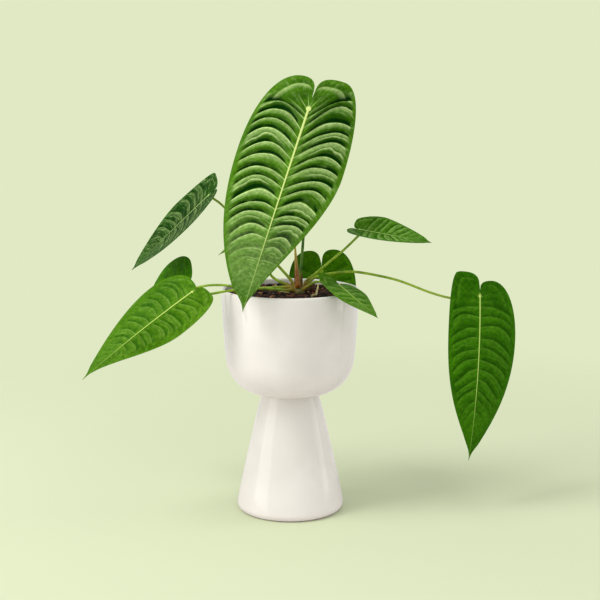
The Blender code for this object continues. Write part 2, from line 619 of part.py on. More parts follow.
def build_sheath(name, root):
    """A dry scrap of old sheath: a thin pointed scale that stands on the crown."""
    out = crown_direction(*root)
    across = unit(np.cross((0.0, 0.0, 1.0), out))
    start = CROWN + out * STALK_SEAT
    rings = []
    for t in np.linspace(0.0, 1.0, SHEATH_RINGS):
        middle = start + out * SHEATH_SPREAD * math.sin(t * math.pi / 2)
        middle = middle + np.array((0.0, 0.0, 1.0)) * SHEATH_LENGTH * t
        width = SHEATH_WIDTH * (1 - t) ** SHEATH_TAPER + SHEATH_TIP_WIDTH
        normal = unit(np.cross(across, unit((0.0, 0.0, 1.0) + out * SHEATH_TILT)))
        cup = normal * SHEATH_CUP * width
        rings.append([middle - across * width / 2 + cup, middle, middle + across * width / 2 + cup])
    half = np.cross(across, (0.0, 0.0, 1.0)) * SHEATH_THICKNESS / 2
    points = [p + half for ring in rings for p in ring] + [p - half for ring in rings for p in ring]
    count, faces = 3 * len(rings), []
    for ring in range(len(rings) - 1):
        for side in range(2):
            a, b, c, d = (3 * ring + side, 3 * ring + side + 1, 3 * ring + side + 4,
                          3 * ring + side + 3)
            faces += [(a, b, c), (a, c, d)]
            faces += [(count + c, count + b, count + a), (count + d, count + c, count + a)]
        for side, turned_round in ((0, False), (2, True)):
            a, b = 3 * ring + side, 3 * ring + 3 + side
            wall = (a, b, count + b, count + a)
            faces.append(wall[::-1] if turned_round else wall)
    end = count - 3
    faces.append((0, count, count + 1, count + 2, 2, 1))
    faces.append((end, end + 1, end + 2, count + end + 2, count + end + 1, count + end))
    piece = add_piece(name, points, faces, "sheath", 30)
    shape = bmesh.new()
    shape.from_mesh(piece.data)
    bmesh.ops.recalc_face_normals(shape, faces=shape.faces)
    shape.to_mesh(piece.data)
    shape.free()


def build_root(name, root):
    """A root that lies on the soil."""
    lift = root["radius"] + ROOT_LIFT
    way = smooth_path([(x, y, 0.0) for x, y in root["way"]], ROOT_STEP)
    path = [(x, y, soil_height(x, y) + lift) for x, y, z in way]
    steps = len(path) - 1
    radii = [root["radius"] * (1 - ROOT_TAPER * (i / steps) ** 2) for i in range(steps + 1)]
    tube(name, path, radii, "root", sides=6)


def main():
    for old in list(bpy.data.objects):
        bpy.data.objects.remove(old)
    build_stand()
    build_bowl()
    build_soil()
    build_crown()
    for name, leaf in LEAVES.items():
        build_leaf(name, leaf)
    build_shoot()
    for name, root in SHEATH_ROOTS.items():
        build_sheath(name, root)
    for name, root in ROOTS.items():
        build_root(name, root)


main()
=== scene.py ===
# Potted king anthurium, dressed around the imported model. Metres, front at -Y.
import math
import random

import bpy
import numpy as np
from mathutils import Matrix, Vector, noise


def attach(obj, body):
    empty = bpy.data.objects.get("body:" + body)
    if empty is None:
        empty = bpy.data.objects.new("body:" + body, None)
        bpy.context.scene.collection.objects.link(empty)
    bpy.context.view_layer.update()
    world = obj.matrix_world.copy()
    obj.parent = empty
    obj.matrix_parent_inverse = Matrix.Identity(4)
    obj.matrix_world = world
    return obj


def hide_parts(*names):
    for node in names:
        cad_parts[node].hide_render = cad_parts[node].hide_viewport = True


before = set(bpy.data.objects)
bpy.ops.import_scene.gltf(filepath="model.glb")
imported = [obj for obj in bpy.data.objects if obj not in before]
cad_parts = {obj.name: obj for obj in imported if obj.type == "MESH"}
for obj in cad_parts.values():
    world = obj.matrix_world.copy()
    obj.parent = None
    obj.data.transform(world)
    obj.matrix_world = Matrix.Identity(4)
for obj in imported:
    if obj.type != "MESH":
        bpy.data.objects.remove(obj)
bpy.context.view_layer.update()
print("packed model loaded:", len(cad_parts), "nodes")


# small helpers

def deselectAll():
    if bpy.context.object and bpy.context.object.mode != "OBJECT":
        bpy.ops.object.mode_set(mode="OBJECT")
    bpy.ops.object.select_all(action="DESELECT")


def pickOnly(piece):
    deselectAll()
    piece.select_set(True)
    bpy.context.view_layer.objects.active = piece


def applyModifier(piece, kind, **settings):
    pickOnly(piece)
    modifier = piece.modifiers.new(kind.title(), kind)
    for name, value in settings.items():
        setattr(modifier, name, value)
    bpy.ops.object.modifier_apply(modifier=modifier.name)


def cleanUp(piece, distance=0.00001):
    # merge doubles, then turn every face outwards
    pickOnly(piece)
    bpy.ops.object.mode_set(mode="EDIT")
    bpy.ops.mesh.select_all(action="SELECT")
    bpy.ops.mesh.remove_doubles(threshold=distance)
    bpy.ops.mesh.normals_make_consistent(inside=False)
    bpy.ops.object.mode_set(mode="OBJECT")


def placeInMesh(piece):
    pickOnly(piece)
    bpy.ops.object.transform_apply(location=True, rotation=True, scale=True)


def smoothOver(piece, degrees):
    pickOnly(piece)
    bpy.ops.object.shade_smooth_by_angle(angle=math.radians(degrees))


def hangOn(piece, name, slot, materials, node=None, smooth=60):
    # smooth it, name it, paint it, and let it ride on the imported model
    placeInMesh(piece)
    smoothOver(piece, smooth)
    piece.name = name
    piece.data.name = name
    piece.data.materials.clear()
    for material in materials:
        piece.data.materials.append(material)
    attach(piece, "root")
    if node:
        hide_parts(node)
    return piece


def readValues(items, name="co", width=3):
    # one number or vector of each item, as rows
    values = np.empty(len(items) * width)
    items.foreach_get(name, values)
    return values.reshape(-1, width)


def readPoints(piece):
    return readValues(piece.data.vertices)


def writePoints(piece, points):
    piece.data.vertices.foreach_set("co", np.asarray(points, float).ravel())
    piece.data.update()


def addSheet(columns, rows):
    # a flat grid to be bent, and the place of each of its points, -1 to 1
    deselectAll()
    bpy.ops.mesh.primitive_grid_add(x_subdivisions=columns, y_subdivisions=rows, size=2.0)
    piece = bpy.context.object
    return piece, readPoints(piece)[:, :2]


def unit(vector):
    vector = np.asarray(vector, float)
    return vector / np.linalg.norm(vector, axis=-1, keepdims=True)


def ease(value, low, high):
    t = np.clip((value - low) / (high - low), 0.0, 1.0)
    return t * t * (3 - 2 * t)


def bezier(a, b, c, d, steps):
    t = np.linspace(0.0, 1.0, steps + 1)[:, None]
    a, b, c, d = (np.asarray(p, float) for p in (a, b, c, d))
    return a * (1 - t) ** 3 + 3 * b * t * (1 - t) ** 2 + 3 * c * t * t * (1 - t) + d * t ** 3


def arc(centre, radius, start, end, steps):
    turn = np.radians(np.linspace(start, end, steps + 1))
    return np.column_stack((centre[0] + radius * np.cos(turn), centre[1] + radius * np.sin(turn)))


def stepsAlong(points):
    # how far each point of a line lies from its start
    return np.concatenate(([0.0], np.cumsum(np.linalg.norm(np.diff(points, axis=0), axis=1))))


def smoothPath(points, step):
    # an even curve through given points
    points = [np.asarray(p, float) for p in points]
    ends = [2 * points[0] - points[1]] + points + [2 * points[-1] - points[-2]]
    path = [points[0]]
    for a, b, c, d in zip(ends, ends[1:], ends[2:], ends[3:]):
        cuts = max(1, round(np.linalg.norm(c - b) / step))
        path.extend(bezier(b, b + (c - a) / 6, c - (d - b) / 6, c, cuts)[1:])
    return np.array(path)


def noiseAt(points, size, seed=0.0):
    # smooth noise, about -1 to 1, with lumps of the given size
    return np.array([noise.noise(Vector(p) / size + Vector((seed, -seed, 2 * seed))) for p in points])


def turnOnWheel(profile, sides):
    # pull a ring of points along a (radius, height) profile, as clay on a wheel
    deselectAll()
    bpy.ops.mesh.primitive_circle_add(vertices=sides, radius=profile[0][0],
                                      location=(0.0, 0.0, profile[0][1]))
    piece = bpy.context.object
    placeInMesh(piece)
    bpy.ops.object.mode_set(mode="EDIT")
    bpy.ops.mesh.select_all(action="SELECT")
    for (radius, height), (nextRadius, nextHeight) in zip(profile, profile[1:]):
        scale = nextRadius / radius
        bpy.ops.mesh.extrude_edges_move(
            TRANSFORM_OT_translate={"value": (0.0, 0.0, nextHeight - height)})
        bpy.ops.transform.resize(value=(scale, scale, 1.0), center_override=(0.0, 0.0, nextHeight))
    bpy.ops.object.mode_set(mode="OBJECT")
    return piece


# materials

def toLinear(tone):
    # a colour given as seen on screen, 0 to 255
    seen = np.array(tone) / 255
    return (*np.where(seen < 0.04045, seen / 12.92, ((seen + 0.055) / 1.055) ** 2.4), 1.0)


def newGroup(name, inputs, outputs):
    # each input is a number or a colour, as its value is
    group = bpy.data.node_groups.new(name, "ShaderNodeTree")
    for label, value in inputs.items():
        kind = "NodeSocketColor" if isinstance(value, tuple) else "NodeSocketFloat"
        group.interface.new_socket(name=label, in_out="INPUT", socket_type=kind).default_value = value
    for label in outputs:
        kind = "NodeSocketColor" if label == "Colour" else "NodeSocketFloat"
        group.interface.new_socket(name=label, in_out="OUTPUT", socket_type=kind)
    return group, group.nodes.new("NodeGroupInput"), group.nodes.new("NodeGroupOutput")


class Bench:
    # shorthand for adding and wiring nodes in one tree
    def __init__(self, tree):
        self.tree = tree

    def node(self, kind, values=None, **settings):
        made = self.tree.nodes.new("ShaderNode" + kind)
        for name, value in settings.items():
            setattr(made, name, value)
        for socket, value in (values or {}).items():
            self.feed(value, made.inputs[socket])
        return made

    def feed(self, value, socket):
        if isinstance(value, bpy.types.NodeSocket):
            self.tree.links.new(value, socket)
        elif isinstance(value, bpy.types.Node):
            self.tree.links.new(value.outputs[0], socket)
        else:
            socket.default_value = value

    def maths(self, operation, a, b=0.0, clamp=False):
        return self.node("Math", {0: a, 1: b}, operation=operation, use_clamp=clamp).outputs[0]

    def times(self, first, *others):
        # all of them multiplied
        for other in others:
            first = self.maths("MULTIPLY", first, other)
        return first

    def most(self, a, b):
        return self.maths("MAXIMUM", a, b)

    def mixed(self, amount, first, second, blend="MIX"):
        return self.node("Mix", {0: amount, 6: first, 7: second}, data_type="RGBA",
                         blend_type=blend).outputs[2]

    def ranged(self, value, low, high, toLow=0.0, toHigh=1.0, kind="SMOOTHSTEP"):
        return self.node("MapRange", dict(enumerate((value, low, high, toLow, toHigh))),
                         interpolation_type=kind).outputs[0]

    def noised(self, vector, scale, detail=3.0, roughness=0.55):
        return self.node("TexNoise", {"Vector": vector, "Scale": scale, "Detail": detail,
                                      "Roughness": roughness}).outputs[0]

    def place(self):
        return self.node("TexCoord").outputs["Object"]


def makeCloudGroup():
    # a colour that drifts between two tones in soft patches
    group, start, end = newGroup("softPatches", {
        "First": (0.5, 0.5, 0.5, 1.0), "Second": (0.8, 0.8, 0.8, 1.0), "Scale": 20.0,
        "Low": 0.35, "High": 0.65}, ("Colour",))
    bench = Bench(group)
    given = start.outputs
    mask = bench.ranged(bench.noised(bench.place(), given["Scale"]), given["Low"], given["High"])
    bench.feed(bench.mixed(mask, given["First"], given["Second"]), end.inputs[0])
    return group


def makeGrainGroup():
    # fine relief for a Bump node, and a roughness that drifts with it
    group, start, end = newGroup("fineGrain", {"Scale": 400.0, "Rough low": 0.3, "Rough high": 0.5},
                                 ("Height", "Roughness"))
    bench = Bench(group)
    given, place = start.outputs, bench.place()
    broad = bench.noised(place, bench.maths("DIVIDE", given["Scale"], 8.0), 2.0)
    bench.feed(bench.noised(place, given["Scale"], 4.0), end.inputs[0])
    bench.feed(bench.ranged(broad, 0.3, 0.7, given["Rough low"], given["Rough high"]), end.inputs[1])
    return group


# bands of the leaf paint: where each one starts and ends, then what it gives before and after.
# They run over the place along a side vein, the fold number or its fraction, or the length.
veinBands = {
    "ribTaper": (0.0, 0.75, 1.0, 0.25), "ribEdge": (0.45, 1.0, 1.0, 0.0), "ribStart": (-0.06, 0.0),
    "ribTip": (0.45, 0.95, 1.0, 0.30), "knot": (1.3, 2.1, 1.0, 0.0),
    "vein": (0.015, 0.075, 1.0, 0.0), "veinFold": (1.6, 1.9), "veinTip": (0.5, 0.85, 1.0, 0.1),
    "ray": (0.02, 0.12, 0.8, 0.0), "rayReach": (0.04, 0.55, 1.0, 0.0), "rayFold": (1.7, 1.9, 1.0, 0.0),
    "insideStart": (0.03, 0.15), "insideEnd": (0.0, 0.09, 1.0, 0.0), "insideFold": (1.0, 1.2),
    "insideTip": (0.55, 0.84, 1.0, 0.08),
    # from slope on, all bands but the last one, rim, lay painted highlight, painted sheen and painted
    # shade on the folds
    "slope": (0.06, 0.56, 0.45, 0.0), "slopeStart": (0.0, 0.03), "lightFold": (1.8, 2.0),
    "twinChance": (0.45, 0.60), "twinReach": (0.15, 0.40), "twinFold": (1.9, 2.1),
    "twinRise": (0.44, 0.47), "twinFall": (0.48, 0.66, 0.55, 0.0),
    "twinShade": (0.34, 0.43), "twinBrink": (0.43, 0.45, 0.5, 0.0), "uneven": (0.36, 0.56, 0.65, 1.25),
    "darkSlope": (0.40, 0.80, 0.0, 0.55), "darkFoot": (0.70, 0.92, 0.0, 0.45),
    "darkEnd": (0.965, 0.995, 1.0, 0.0), "darkFold": (1.7, 2.0, 0.45, 1.0),
    "sheen": (0.50, 0.75, 0.0, 0.12), "sheenTip": (0.80, 1.0, 1.0, 0.0),
    "sheenRim": (0.90, 1.0, 1.0, 0.0),
    "lobeStart": (0.85, 1.05), "lobeEnd": (1.75, 1.95, 1.0, 0.0),
    "bow": (0.60, 0.74, 0.0, 0.45), "bowEnd": (0.74, 0.77, 1.0, 0.0),
    "hollowShade": (0.76, 0.79), "hollowShadeEnd": (0.82, 0.92, 0.3, 0.0),
    "basinShade": (0.18, 0.34), "basinShadeEnd": (0.46, 0.62, 0.35, 0.0), "rim": (0.90, 1.0),
}


def makeVeinGroup():
    # masks read from a blade's two maps: veinMap holds (place along a side vein, fold number),
    # sizeMap holds (distance from the midrib, distance from the stalk) in decimetres
    # two of the outputs, the fold light and the fold dark, are painted highlight with sheen and painted
    # shade
    group, start, end = newGroup("leafVeins", {
        "Midrib width": 0.022, "Length": 2.0, "Vein reach": 0.45, "Ridge": 0.5, "Fold end": 0.84},
        ("Midrib", "Veins", "Painted fold light", "Painted fold shade", "Rim", "Stripes"))
    bench = Bench(group)
    maths, times, most = bench.maths, bench.times, bench.most
    given = start.outputs

    def band(name, value, kind="SMOOTHSTEP"):
        return bench.ranged(value, *veinBands[name], kind=kind)

    def combine(*parts):
        return bench.node("CombineXYZ", dict(enumerate(parts)))

    veinMap, sizeMap = (bench.node("SeparateXYZ", {0: bench.node("UVMap", uv_map=name)}).outputs
                        for name in ("veinMap", "sizeMap"))
    reach, fold = maths("ABSOLUTE", veinMap[0]), veinMap[1]
    across, along = maths("ABSOLUTE", sizeMap[0]), sizeMap[1]
    share = maths("DIVIDE", along, given["Length"])
    # midrib, wide at the stalk and a thread at the tip, with a round knot where it starts
    half = times(given["Midrib width"], band("ribTaper", share, "LINEAR"))
    rib = times(band("ribEdge", maths("DIVIDE", across, half)), band("ribStart", along),
                band("ribTip", share))
    corner = maths("SQRT", maths("ADD", maths("POWER", across, 2.0), maths("POWER", along, 2.0)))
    knot = band("knot", maths("DIVIDE", corner, given["Midrib width"]))
    bench.feed(most(rib, knot), end.inputs[0])
    # side veins lie in the grooves, pale where they leave the midrib, and fan out in the lobes
    phase = maths("FRACT", fold)
    near = maths("SUBTRACT", 0.5, maths("ABSOLUTE", maths("SUBTRACT", phase, 0.5)))
    pale = bench.ranged(reach, 0.05, given["Vein reach"], 1.0, 0.0)
    vein = times(band("vein", near), pale, band("veinFold", fold))
    ray = maths("PINGPONG", times(fold, 3.0), 0.5)
    ray = times(band("ray", ray), band("rayReach", reach), band("rayFold", fold))
    bench.feed(times(most(vein, ray), band("veinTip", share)), end.inputs[1])
    # some folds carry a second, lower ridge that wanders, drawn only as painted highlight and painted
    # shade
    side = maths("SIGN", veinMap[0])
    chance = bench.node("TexWhiteNoise", {"Vector": combine(maths("FLOOR", fold), side)})
    chance = chance.outputs["Value"]
    twin = times(band("twinChance", chance), band("twinReach", reach), band("twinFold", fold))
    wave = bench.noised(combine(times(reach, 2.0), chance), 2.0, 1.0)
    where = maths("ADD", phase, times(maths("SUBTRACT", wave, 0.5), 0.35))
    # the folds stay inside the margin and fade towards the tip
    inside = times(band("insideStart", reach),
                   band("insideEnd", maths("SUBTRACT", reach, given["Fold end"])),
                   band("insideFold", fold), band("insideTip", share))
    # painted light: a painted highlight on the side of each fold that looks up and a thin one just past
    # each groove, a painted sheen near the tip, a painted highlight in a bow at the lobe's cushion
    light = maths("ADD", bench.ranged(phase, 0.04, 0.13, given["Ridge"], 0.0), band("slope", phase))
    light = maths("ADD", times(light, band("slopeStart", phase)),
                  times(band("twinRise", where), band("twinFall", where), twin))
    light = times(light, band("lightFold", fold), inside)
    light = most(light, times(band("sheen", share), band("sheenTip", share), band("sheenRim", reach)))
    lobe = times(band("lobeStart", fold), band("lobeEnd", fold))
    bench.feed(most(light, times(band("bow", reach), band("bowEnd", reach), lobe)), end.inputs[2])
    # painted shade: the side of each fold that looks down, and the hollows round the cushion
    uneven = bench.noised(combine(times(reach, 2.2), fold, side), 1.3, 2.0)
    dark = times(maths("ADD", band("darkSlope", phase), band("darkFoot", phase)),
                 band("darkEnd", phase), band("uneven", uneven), band("darkFold", fold))
    dark = most(dark, times(band("twinShade", where), band("twinBrink", where), twin))
    dark = maths("MULTIPLY", dark, inside, clamp=True)
    hollowShade = most(times(band("hollowShade", reach), band("hollowShadeEnd", reach)),
                  times(band("basinShade", reach), band("basinShadeEnd", reach)))
    bench.feed(most(dark, times(hollowShade, lobe)), end.inputs[3])
    bench.feed(band("rim", reach), end.inputs[4])
    # faint stripes that run with the side veins
    bench.feed(bench.noised(combine(times(reach, 2.6), times(fold, 8.0)), 1.0, 3.0, 0.65), end.inputs[5])
    return group


softPatches = makeCloudGroup()
fineGrain = makeGrainGroup()
leafVeins = makeVeinGroup()


def startMaterial(name):
    material = bpy.data.materials.new(name)
    material.use_nodes = True
    bench = Bench(material.node_tree)
    return material, bench, material.node_tree.nodes["Principled BSDF"]


def addGroup(bench, group, **values):
    made = bench.node("Group", node_tree=group)
    for name, value in values.items():
        bench.feed(value, made.inputs[name.replace("_", " ")])
    return made


def patchy(bench, first, second, scale, **limits):
    patches = addGroup(bench, softPatches, First=toLinear(first), Second=toLinear(second),
                       Scale=scale, **limits)
    return patches.outputs["Colour"]


def paintOver(bench, colour, layers):
    # each layer is a mask and the colour that it lays over what is there
    for amount, tone in layers:
        colour = bench.mixed(amount, colour, toLinear(tone))
    return colour


def finishOff(material, bench, shader, colour, grain, rough, bump, specular=0.5, relief=None):
    # what every finish ends with: fine grain in its roughness and its relief
    texture = addGroup(bench, fineGrain, Scale=grain, Rough_low=rough[0], Rough_high=rough[1]).outputs
    height = texture["Height"] if relief is None else bench.maths("ADD", relief, texture["Height"])
    dent = bench.node("Bump", {"Height": height, "Strength": bump[0], "Distance": bump[1]})
    bench.feed(colour, shader.inputs["Base Color"])
    bench.feed(texture["Roughness"], shader.inputs["Roughness"])
    bench.feed(dent.outputs["Normal"], shader.inputs["Normal"])
    shader.inputs["Specular IOR Level"].default_value = specular
    return material


def makePlainFinish(name, first, second, scale, grain, rough, bump, coat=0.0, specular=0.5):
    # two tones in patches, with fine grain
    material, bench, shader = startMaterial(name)
    shader.inputs["Coat Weight"].default_value = coat
    shader.inputs["Coat Roughness"].default_value = 0.06
    return finishOff(material, bench, shader, patchy(bench, first, second, scale), grain, rough,
                     (bump, 0.0003), specular)


bladePaint = {
    # the two stripe bands pick the low and high parts of the stripes for painted shade and painted
    # highlight
    "patchScale": 14.0, "patchLow": 0.25, "patchHigh": 0.75, "stripeShade": (0.30, 0.52),
    "streakHighlight": (0.50, 0.72), "rimCover": 0.55, "mottleScale": 230.0,
    "mottle": ((0.80, 0.83, 0.74, 1.0), (1.18, 1.15, 1.18, 1.0)),  # multiplies what is below
    "grain": 900.0, "quiltScale": 330.0, "stripeRise": 2.4, "quiltRise": 1.5, "bumpDistance": 0.0005,
}


def makeBladeFinish(name, look, length):
    # the green of a blade: patches, stripes with painted shade and painted highlight, folds with painted
    # shade and painted highlight, mottle, rim, veins and midrib, from below to above
    b = bladePaint
    material, bench, shader = startMaterial(name)
    veins = addGroup(bench, leafVeins, Midrib_width=look["ribWidth"], Length=length * 10,
                     Vein_reach=look["veinReach"], Ridge=look["ridge"], Fold_end=look["foldEnd"]).outputs
    stripes = veins["Stripes"]
    colour = patchy(bench, look["deep"], look["green"], b["patchScale"], Low=b["patchLow"],
                    High=b["patchHigh"])
    # the stripes and the folds get painted shade in the shade colour and a painted highlight in the
    # crest colour
    colour = paintOver(bench, colour, (
        (bench.ranged(stripes, *b["stripeShade"], look["stripes"], 0.0), look["shade"]),
        (bench.ranged(stripes, *b["streakHighlight"], 0.0, look["stripes"]), look["crest"]),
        (bench.times(veins["Painted fold shade"], look["paintedFoldShade"]), look["shade"]),
        (bench.times(veins["Painted fold light"], look["paintedFoldLight"]), look["crest"])))
    mottle = addGroup(bench, softPatches, First=b["mottle"][0], Second=b["mottle"][1],
                      Scale=b["mottleScale"])
    colour = bench.mixed(1.0, colour, mottle.outputs["Colour"], "MULTIPLY")
    colour = paintOver(bench, colour, (
        (bench.times(veins["Rim"], b["rimCover"]), look["rim"]),
        (bench.times(veins["Veins"], look["veinPale"]), look["vein"]),
        (veins["Midrib"], look["midrib"])))
    quilt = bench.noised(bench.place(), b["quiltScale"], 1.0)
    relief = bench.maths("ADD", bench.times(stripes, b["stripeRise"]),
                         bench.times(quilt, b["quiltRise"]))
    return finishOff(material, bench, shader, colour, b["grain"], look["rough"],
                     (look["bump"], b["bumpDistance"]), look["gloss"], relief)


# planter: a bowl on its stand

planter = {
    "sides": 144,
    "standHeight": 0.158, "footRadius": 0.0708, "footRounding": 0.0080,
    "neckRadius": 0.0440, "neckHeight": 0.132, "neckPull": (0.0428, 0.1375),
    "seatRadius": 0.0372, "seatPull": (0.0398, 0.1455), "standWall": 0.006, "standFloor": 0.008,
    "conePulls": ((-0.0052, 0.040), (0.0060, 0.106)),  # from the foot's and the neck's radius
    "seatDepth": 0.0067, "innerFoot": 0.016, "innerRounding": 0.005, "pole": 0.0004,
    "gap": 0.0003,
    "rimHeight": 0.2975, "rimRadius": 0.090, "rimWall": 0.005, "rimPull": (-0.0004, 0.262),
    "turnRadius": 0.0848, "turnHeight": 0.205, "turnPull": (0.0818, 0.1755), "turnRise": (0.0016, 0.016),
    "baseRadius": 0.037, "basePull": (0.0600, 0.1585), "bowlFloor": 0.007,
    "bowlFootRadius": 0.0290, "bowlFootDepth": 0.0050, "footEdge": 0.0006, "drainRadius": 0.0070,
    "innerTurn": (0.0004, 0.001), "innerTurnPull": (0.0028, 0.024), "innerTurnRise": (0.0020, 0.225),
    "innerBase": 0.030, "innerBasePull": (0.058, 0.004), "innerRimPull": 0.270,
    "glaze": dict(first=(223, 220, 210), second=(233, 230, 221), scale=9.0, grain=60.0,
                  rough=(0.03, 0.045), bump=0.01, coat=0.10, specular=0.36),
}


def bowlInside():
    p = planter
    turn = p["turnRadius"] - p["rimWall"] - p["innerTurn"][0]
    low = p["standHeight"] + p["bowlFloor"]
    wall = bezier((turn, p["turnHeight"] + p["innerTurn"][1]),
                  (turn - p["innerTurnPull"][0], p["turnHeight"] - p["innerTurnPull"][1]),
                  (p["innerBasePull"][0], low + p["innerBasePull"][1]), (p["innerBase"], low), 20)
    radius = p["rimRadius"] - p["rimWall"]
    upper = bezier((radius, p["rimHeight"] - p["rimWall"] / 2), (radius, p["innerRimPull"]),
                   (turn + p["innerTurnRise"][0], p["innerTurnRise"][1]), wall[0], 14)
    return [*upper, *wall[1:], (p["drainRadius"], low)]


def makeBowl(glaze):
    p = planter
    low = p["standHeight"] - p["bowlFootDepth"]
    half = p["rimWall"] / 2
    outer = bezier((p["baseRadius"], p["standHeight"]), p["basePull"], p["turnPull"],
                   (p["turnRadius"], p["turnHeight"]), 26)
    upper = bezier(outer[-1], outer[-1] + p["turnRise"],
                   (p["rimRadius"] + p["rimPull"][0], p["rimPull"][1]),
                   (p["rimRadius"], p["rimHeight"] - half), 16)
    rim = arc((p["rimRadius"] - half, p["rimHeight"] - half), half, 0, 180, 12)
    foot = [(p["drainRadius"], low), (p["bowlFootRadius"] - p["footEdge"], low),
            (p["bowlFootRadius"], low + p["footEdge"]), (p["bowlFootRadius"], p["standHeight"])]
    profile = [*foot, *outer, *upper[1:], *rim[1:], *bowlInside()[1:], foot[0]]
    piece = turnOnWheel(profile, p["sides"])
    cleanUp(piece)
    return hangOn(piece, "bowl_glazed", "white_glaze", [glaze], "planter_bowl", 35)


def makeStand(glaze):
    p = planter
    top = p["standHeight"] - p["gap"]
    neck = (p["neckRadius"], p["neckHeight"])
    foot = arc((p["footRadius"] - p["footRounding"], p["footRounding"]), p["footRounding"], -90, 10, 14)
    lowPull, highPull = p["conePulls"]
    cone = bezier(foot[-1], (p["footRadius"] + lowPull[0], lowPull[1]),
                  (p["neckRadius"] + highPull[0], highPull[1]), neck, 22)
    shoulder = bezier(neck, p["neckPull"], p["seatPull"], (p["seatRadius"], top), 12)
    mouth = p["bowlFootRadius"] + 3 * p["gap"]
    innerFoot = p["footRadius"] - p["standWall"] - 0.001
    inside = [(mouth, top), (mouth, top - p["seatDepth"]),
              (p["neckRadius"] - p["standWall"], p["neckHeight"] - p["standWall"]),
              (innerFoot, p["innerFoot"]), (innerFoot - p["innerRounding"], p["standFloor"]),
              (p["pole"], p["standFloor"])]
    piece = turnOnWheel([(p["pole"], 0.0), *foot, *cone[1:], *shoulder[1:], *inside], p["sides"])
    cleanUp(piece, 0.0009)  # closes the two poles
    return hangOn(piece, "stand_glazed", "white_glaze", [glaze], "planter_stand", 35)


glaze = makePlainFinish("whiteGlaze", **planter["glaze"])
makeBowl(glaze)
makeStand(glaze)
print("planter turned")


# soil with bark

soil = {
    "edgeHeight": 0.2900, "mound": 0.0012, "lump": 0.0009, "calm": 0.045, "waves": (310, 270, 190, 240),
    "crown": (0.011, 0.0, 0.2915), "crumb": 0.0016, "crumbSize": 0.0035, "rings": 56, "sides": 128,
    "edgeGap": 0.0006, "edgeDrop": 0.004, "edgeCalm": 0.004,
    "chips": 440, "chipLength": (0.0030, 0.0105), "clear": 0.0125, "seed": 11,
    "chipSize": (1.0, 0.55, 0.28), "chipRagged": 0.09, "chipTilt": 0.5,
    "barkStops": ((0.0, (20, 12, 8)), (0.35, (40, 23, 14)), (0.62, (82, 46, 26)),
                  (0.82, (134, 84, 50)), (0.95, (176, 132, 92))),
    "bark": dict(first=(0.55, 0.55, 0.55, 1.0), second=(1.1, 1.1, 1.1, 1.0), scale=500.0,
                 grain=900.0, rough=(0.65, 0.9), bump=(0.5, 0.0006), specular=0.3),
    "mix": dict(first=(18, 11, 8), second=(36, 23, 16), scale=160.0, cells=420.0,
                fleck=(122, 76, 44), fleckShare=(0.80, 0.97), grain=700.0, rough=(0.75, 0.95),
                bump=(0.6, 0.0008), specular=0.25),
}


def soilHeight(x, y):
    spread = min(1.0, math.hypot(x, y) / planter["rimRadius"])
    near = math.hypot(x - soil["crown"][0], y - soil["crown"][1])
    calm = min(1.0, max(0.25, near / soil["calm"]))
    a, b, c, d = soil["waves"]
    lumps = math.sin(a * x + 1.3) * math.cos(b * y) + 0.7 * math.sin(c * y - d * x)
    return soil["edgeHeight"] + soil["mound"] * (1 - spread ** 2) + soil["lump"] * calm * lumps


def makeSoil(material):
    gap, pole = planter["gap"], planter["pole"]
    edge = planter["rimRadius"] - planter["rimWall"] - soil["edgeGap"]
    side = [(r - gap, z + gap) for r, z in bowlInside()[1:-1]]
    side = [place for place in side if place[1] < soil["edgeHeight"] - soil["edgeDrop"]]
    top = [(max(pole, edge * ring / soil["rings"]), soil["edgeHeight"])
           for ring in range(soil["rings"], -1, -1)]
    piece = turnOnWheel([(pole, side[-1][1]), *side[::-1], *top], soil["sides"])
    cleanUp(piece, 0.0003)
    points = readPoints(piece)
    surface = np.abs(points[:, 2] - soil["edgeHeight"]) < 0.00001
    crumbs = noiseAt(points, soil["crumbSize"]) + 0.6 * noiseAt(points, soil["crumbSize"] / 2.3, 4.0)
    # the crumbs grow flatter at the wall
    rim = 1 - ease(np.hypot(points[:, 0], points[:, 1]), edge - soil["edgeCalm"], edge)
    crumbs *= soil["crumb"] * (0.4 + 0.6 * rim)
    for number in np.nonzero(surface)[0]:
        points[number, 2] = soilHeight(*points[number, :2]) + crumbs[number]
    writePoints(piece, points)
    return hangOn(piece, "soil_mix", "soil", [material], "soil")


def makeChip():
    # one bark chip: a split, rough-edged flake about 1 long
    deselectAll()
    bpy.ops.mesh.primitive_cube_add(size=1.0)
    chip = bpy.context.object
    bpy.ops.object.mode_set(mode="EDIT")
    bpy.ops.mesh.select_all(action="SELECT")
    bpy.ops.transform.resize(value=soil["chipSize"])
    bpy.ops.mesh.subdivide(number_cuts=1)
    bpy.ops.object.mode_set(mode="OBJECT")
    points = readPoints(chip)
    rounding = np.linalg.norm(2 * points / soil["chipSize"], axis=1, keepdims=True)
    points *= 1.25 / (rounding + 0.25)
    writePoints(chip, points)
    return chip


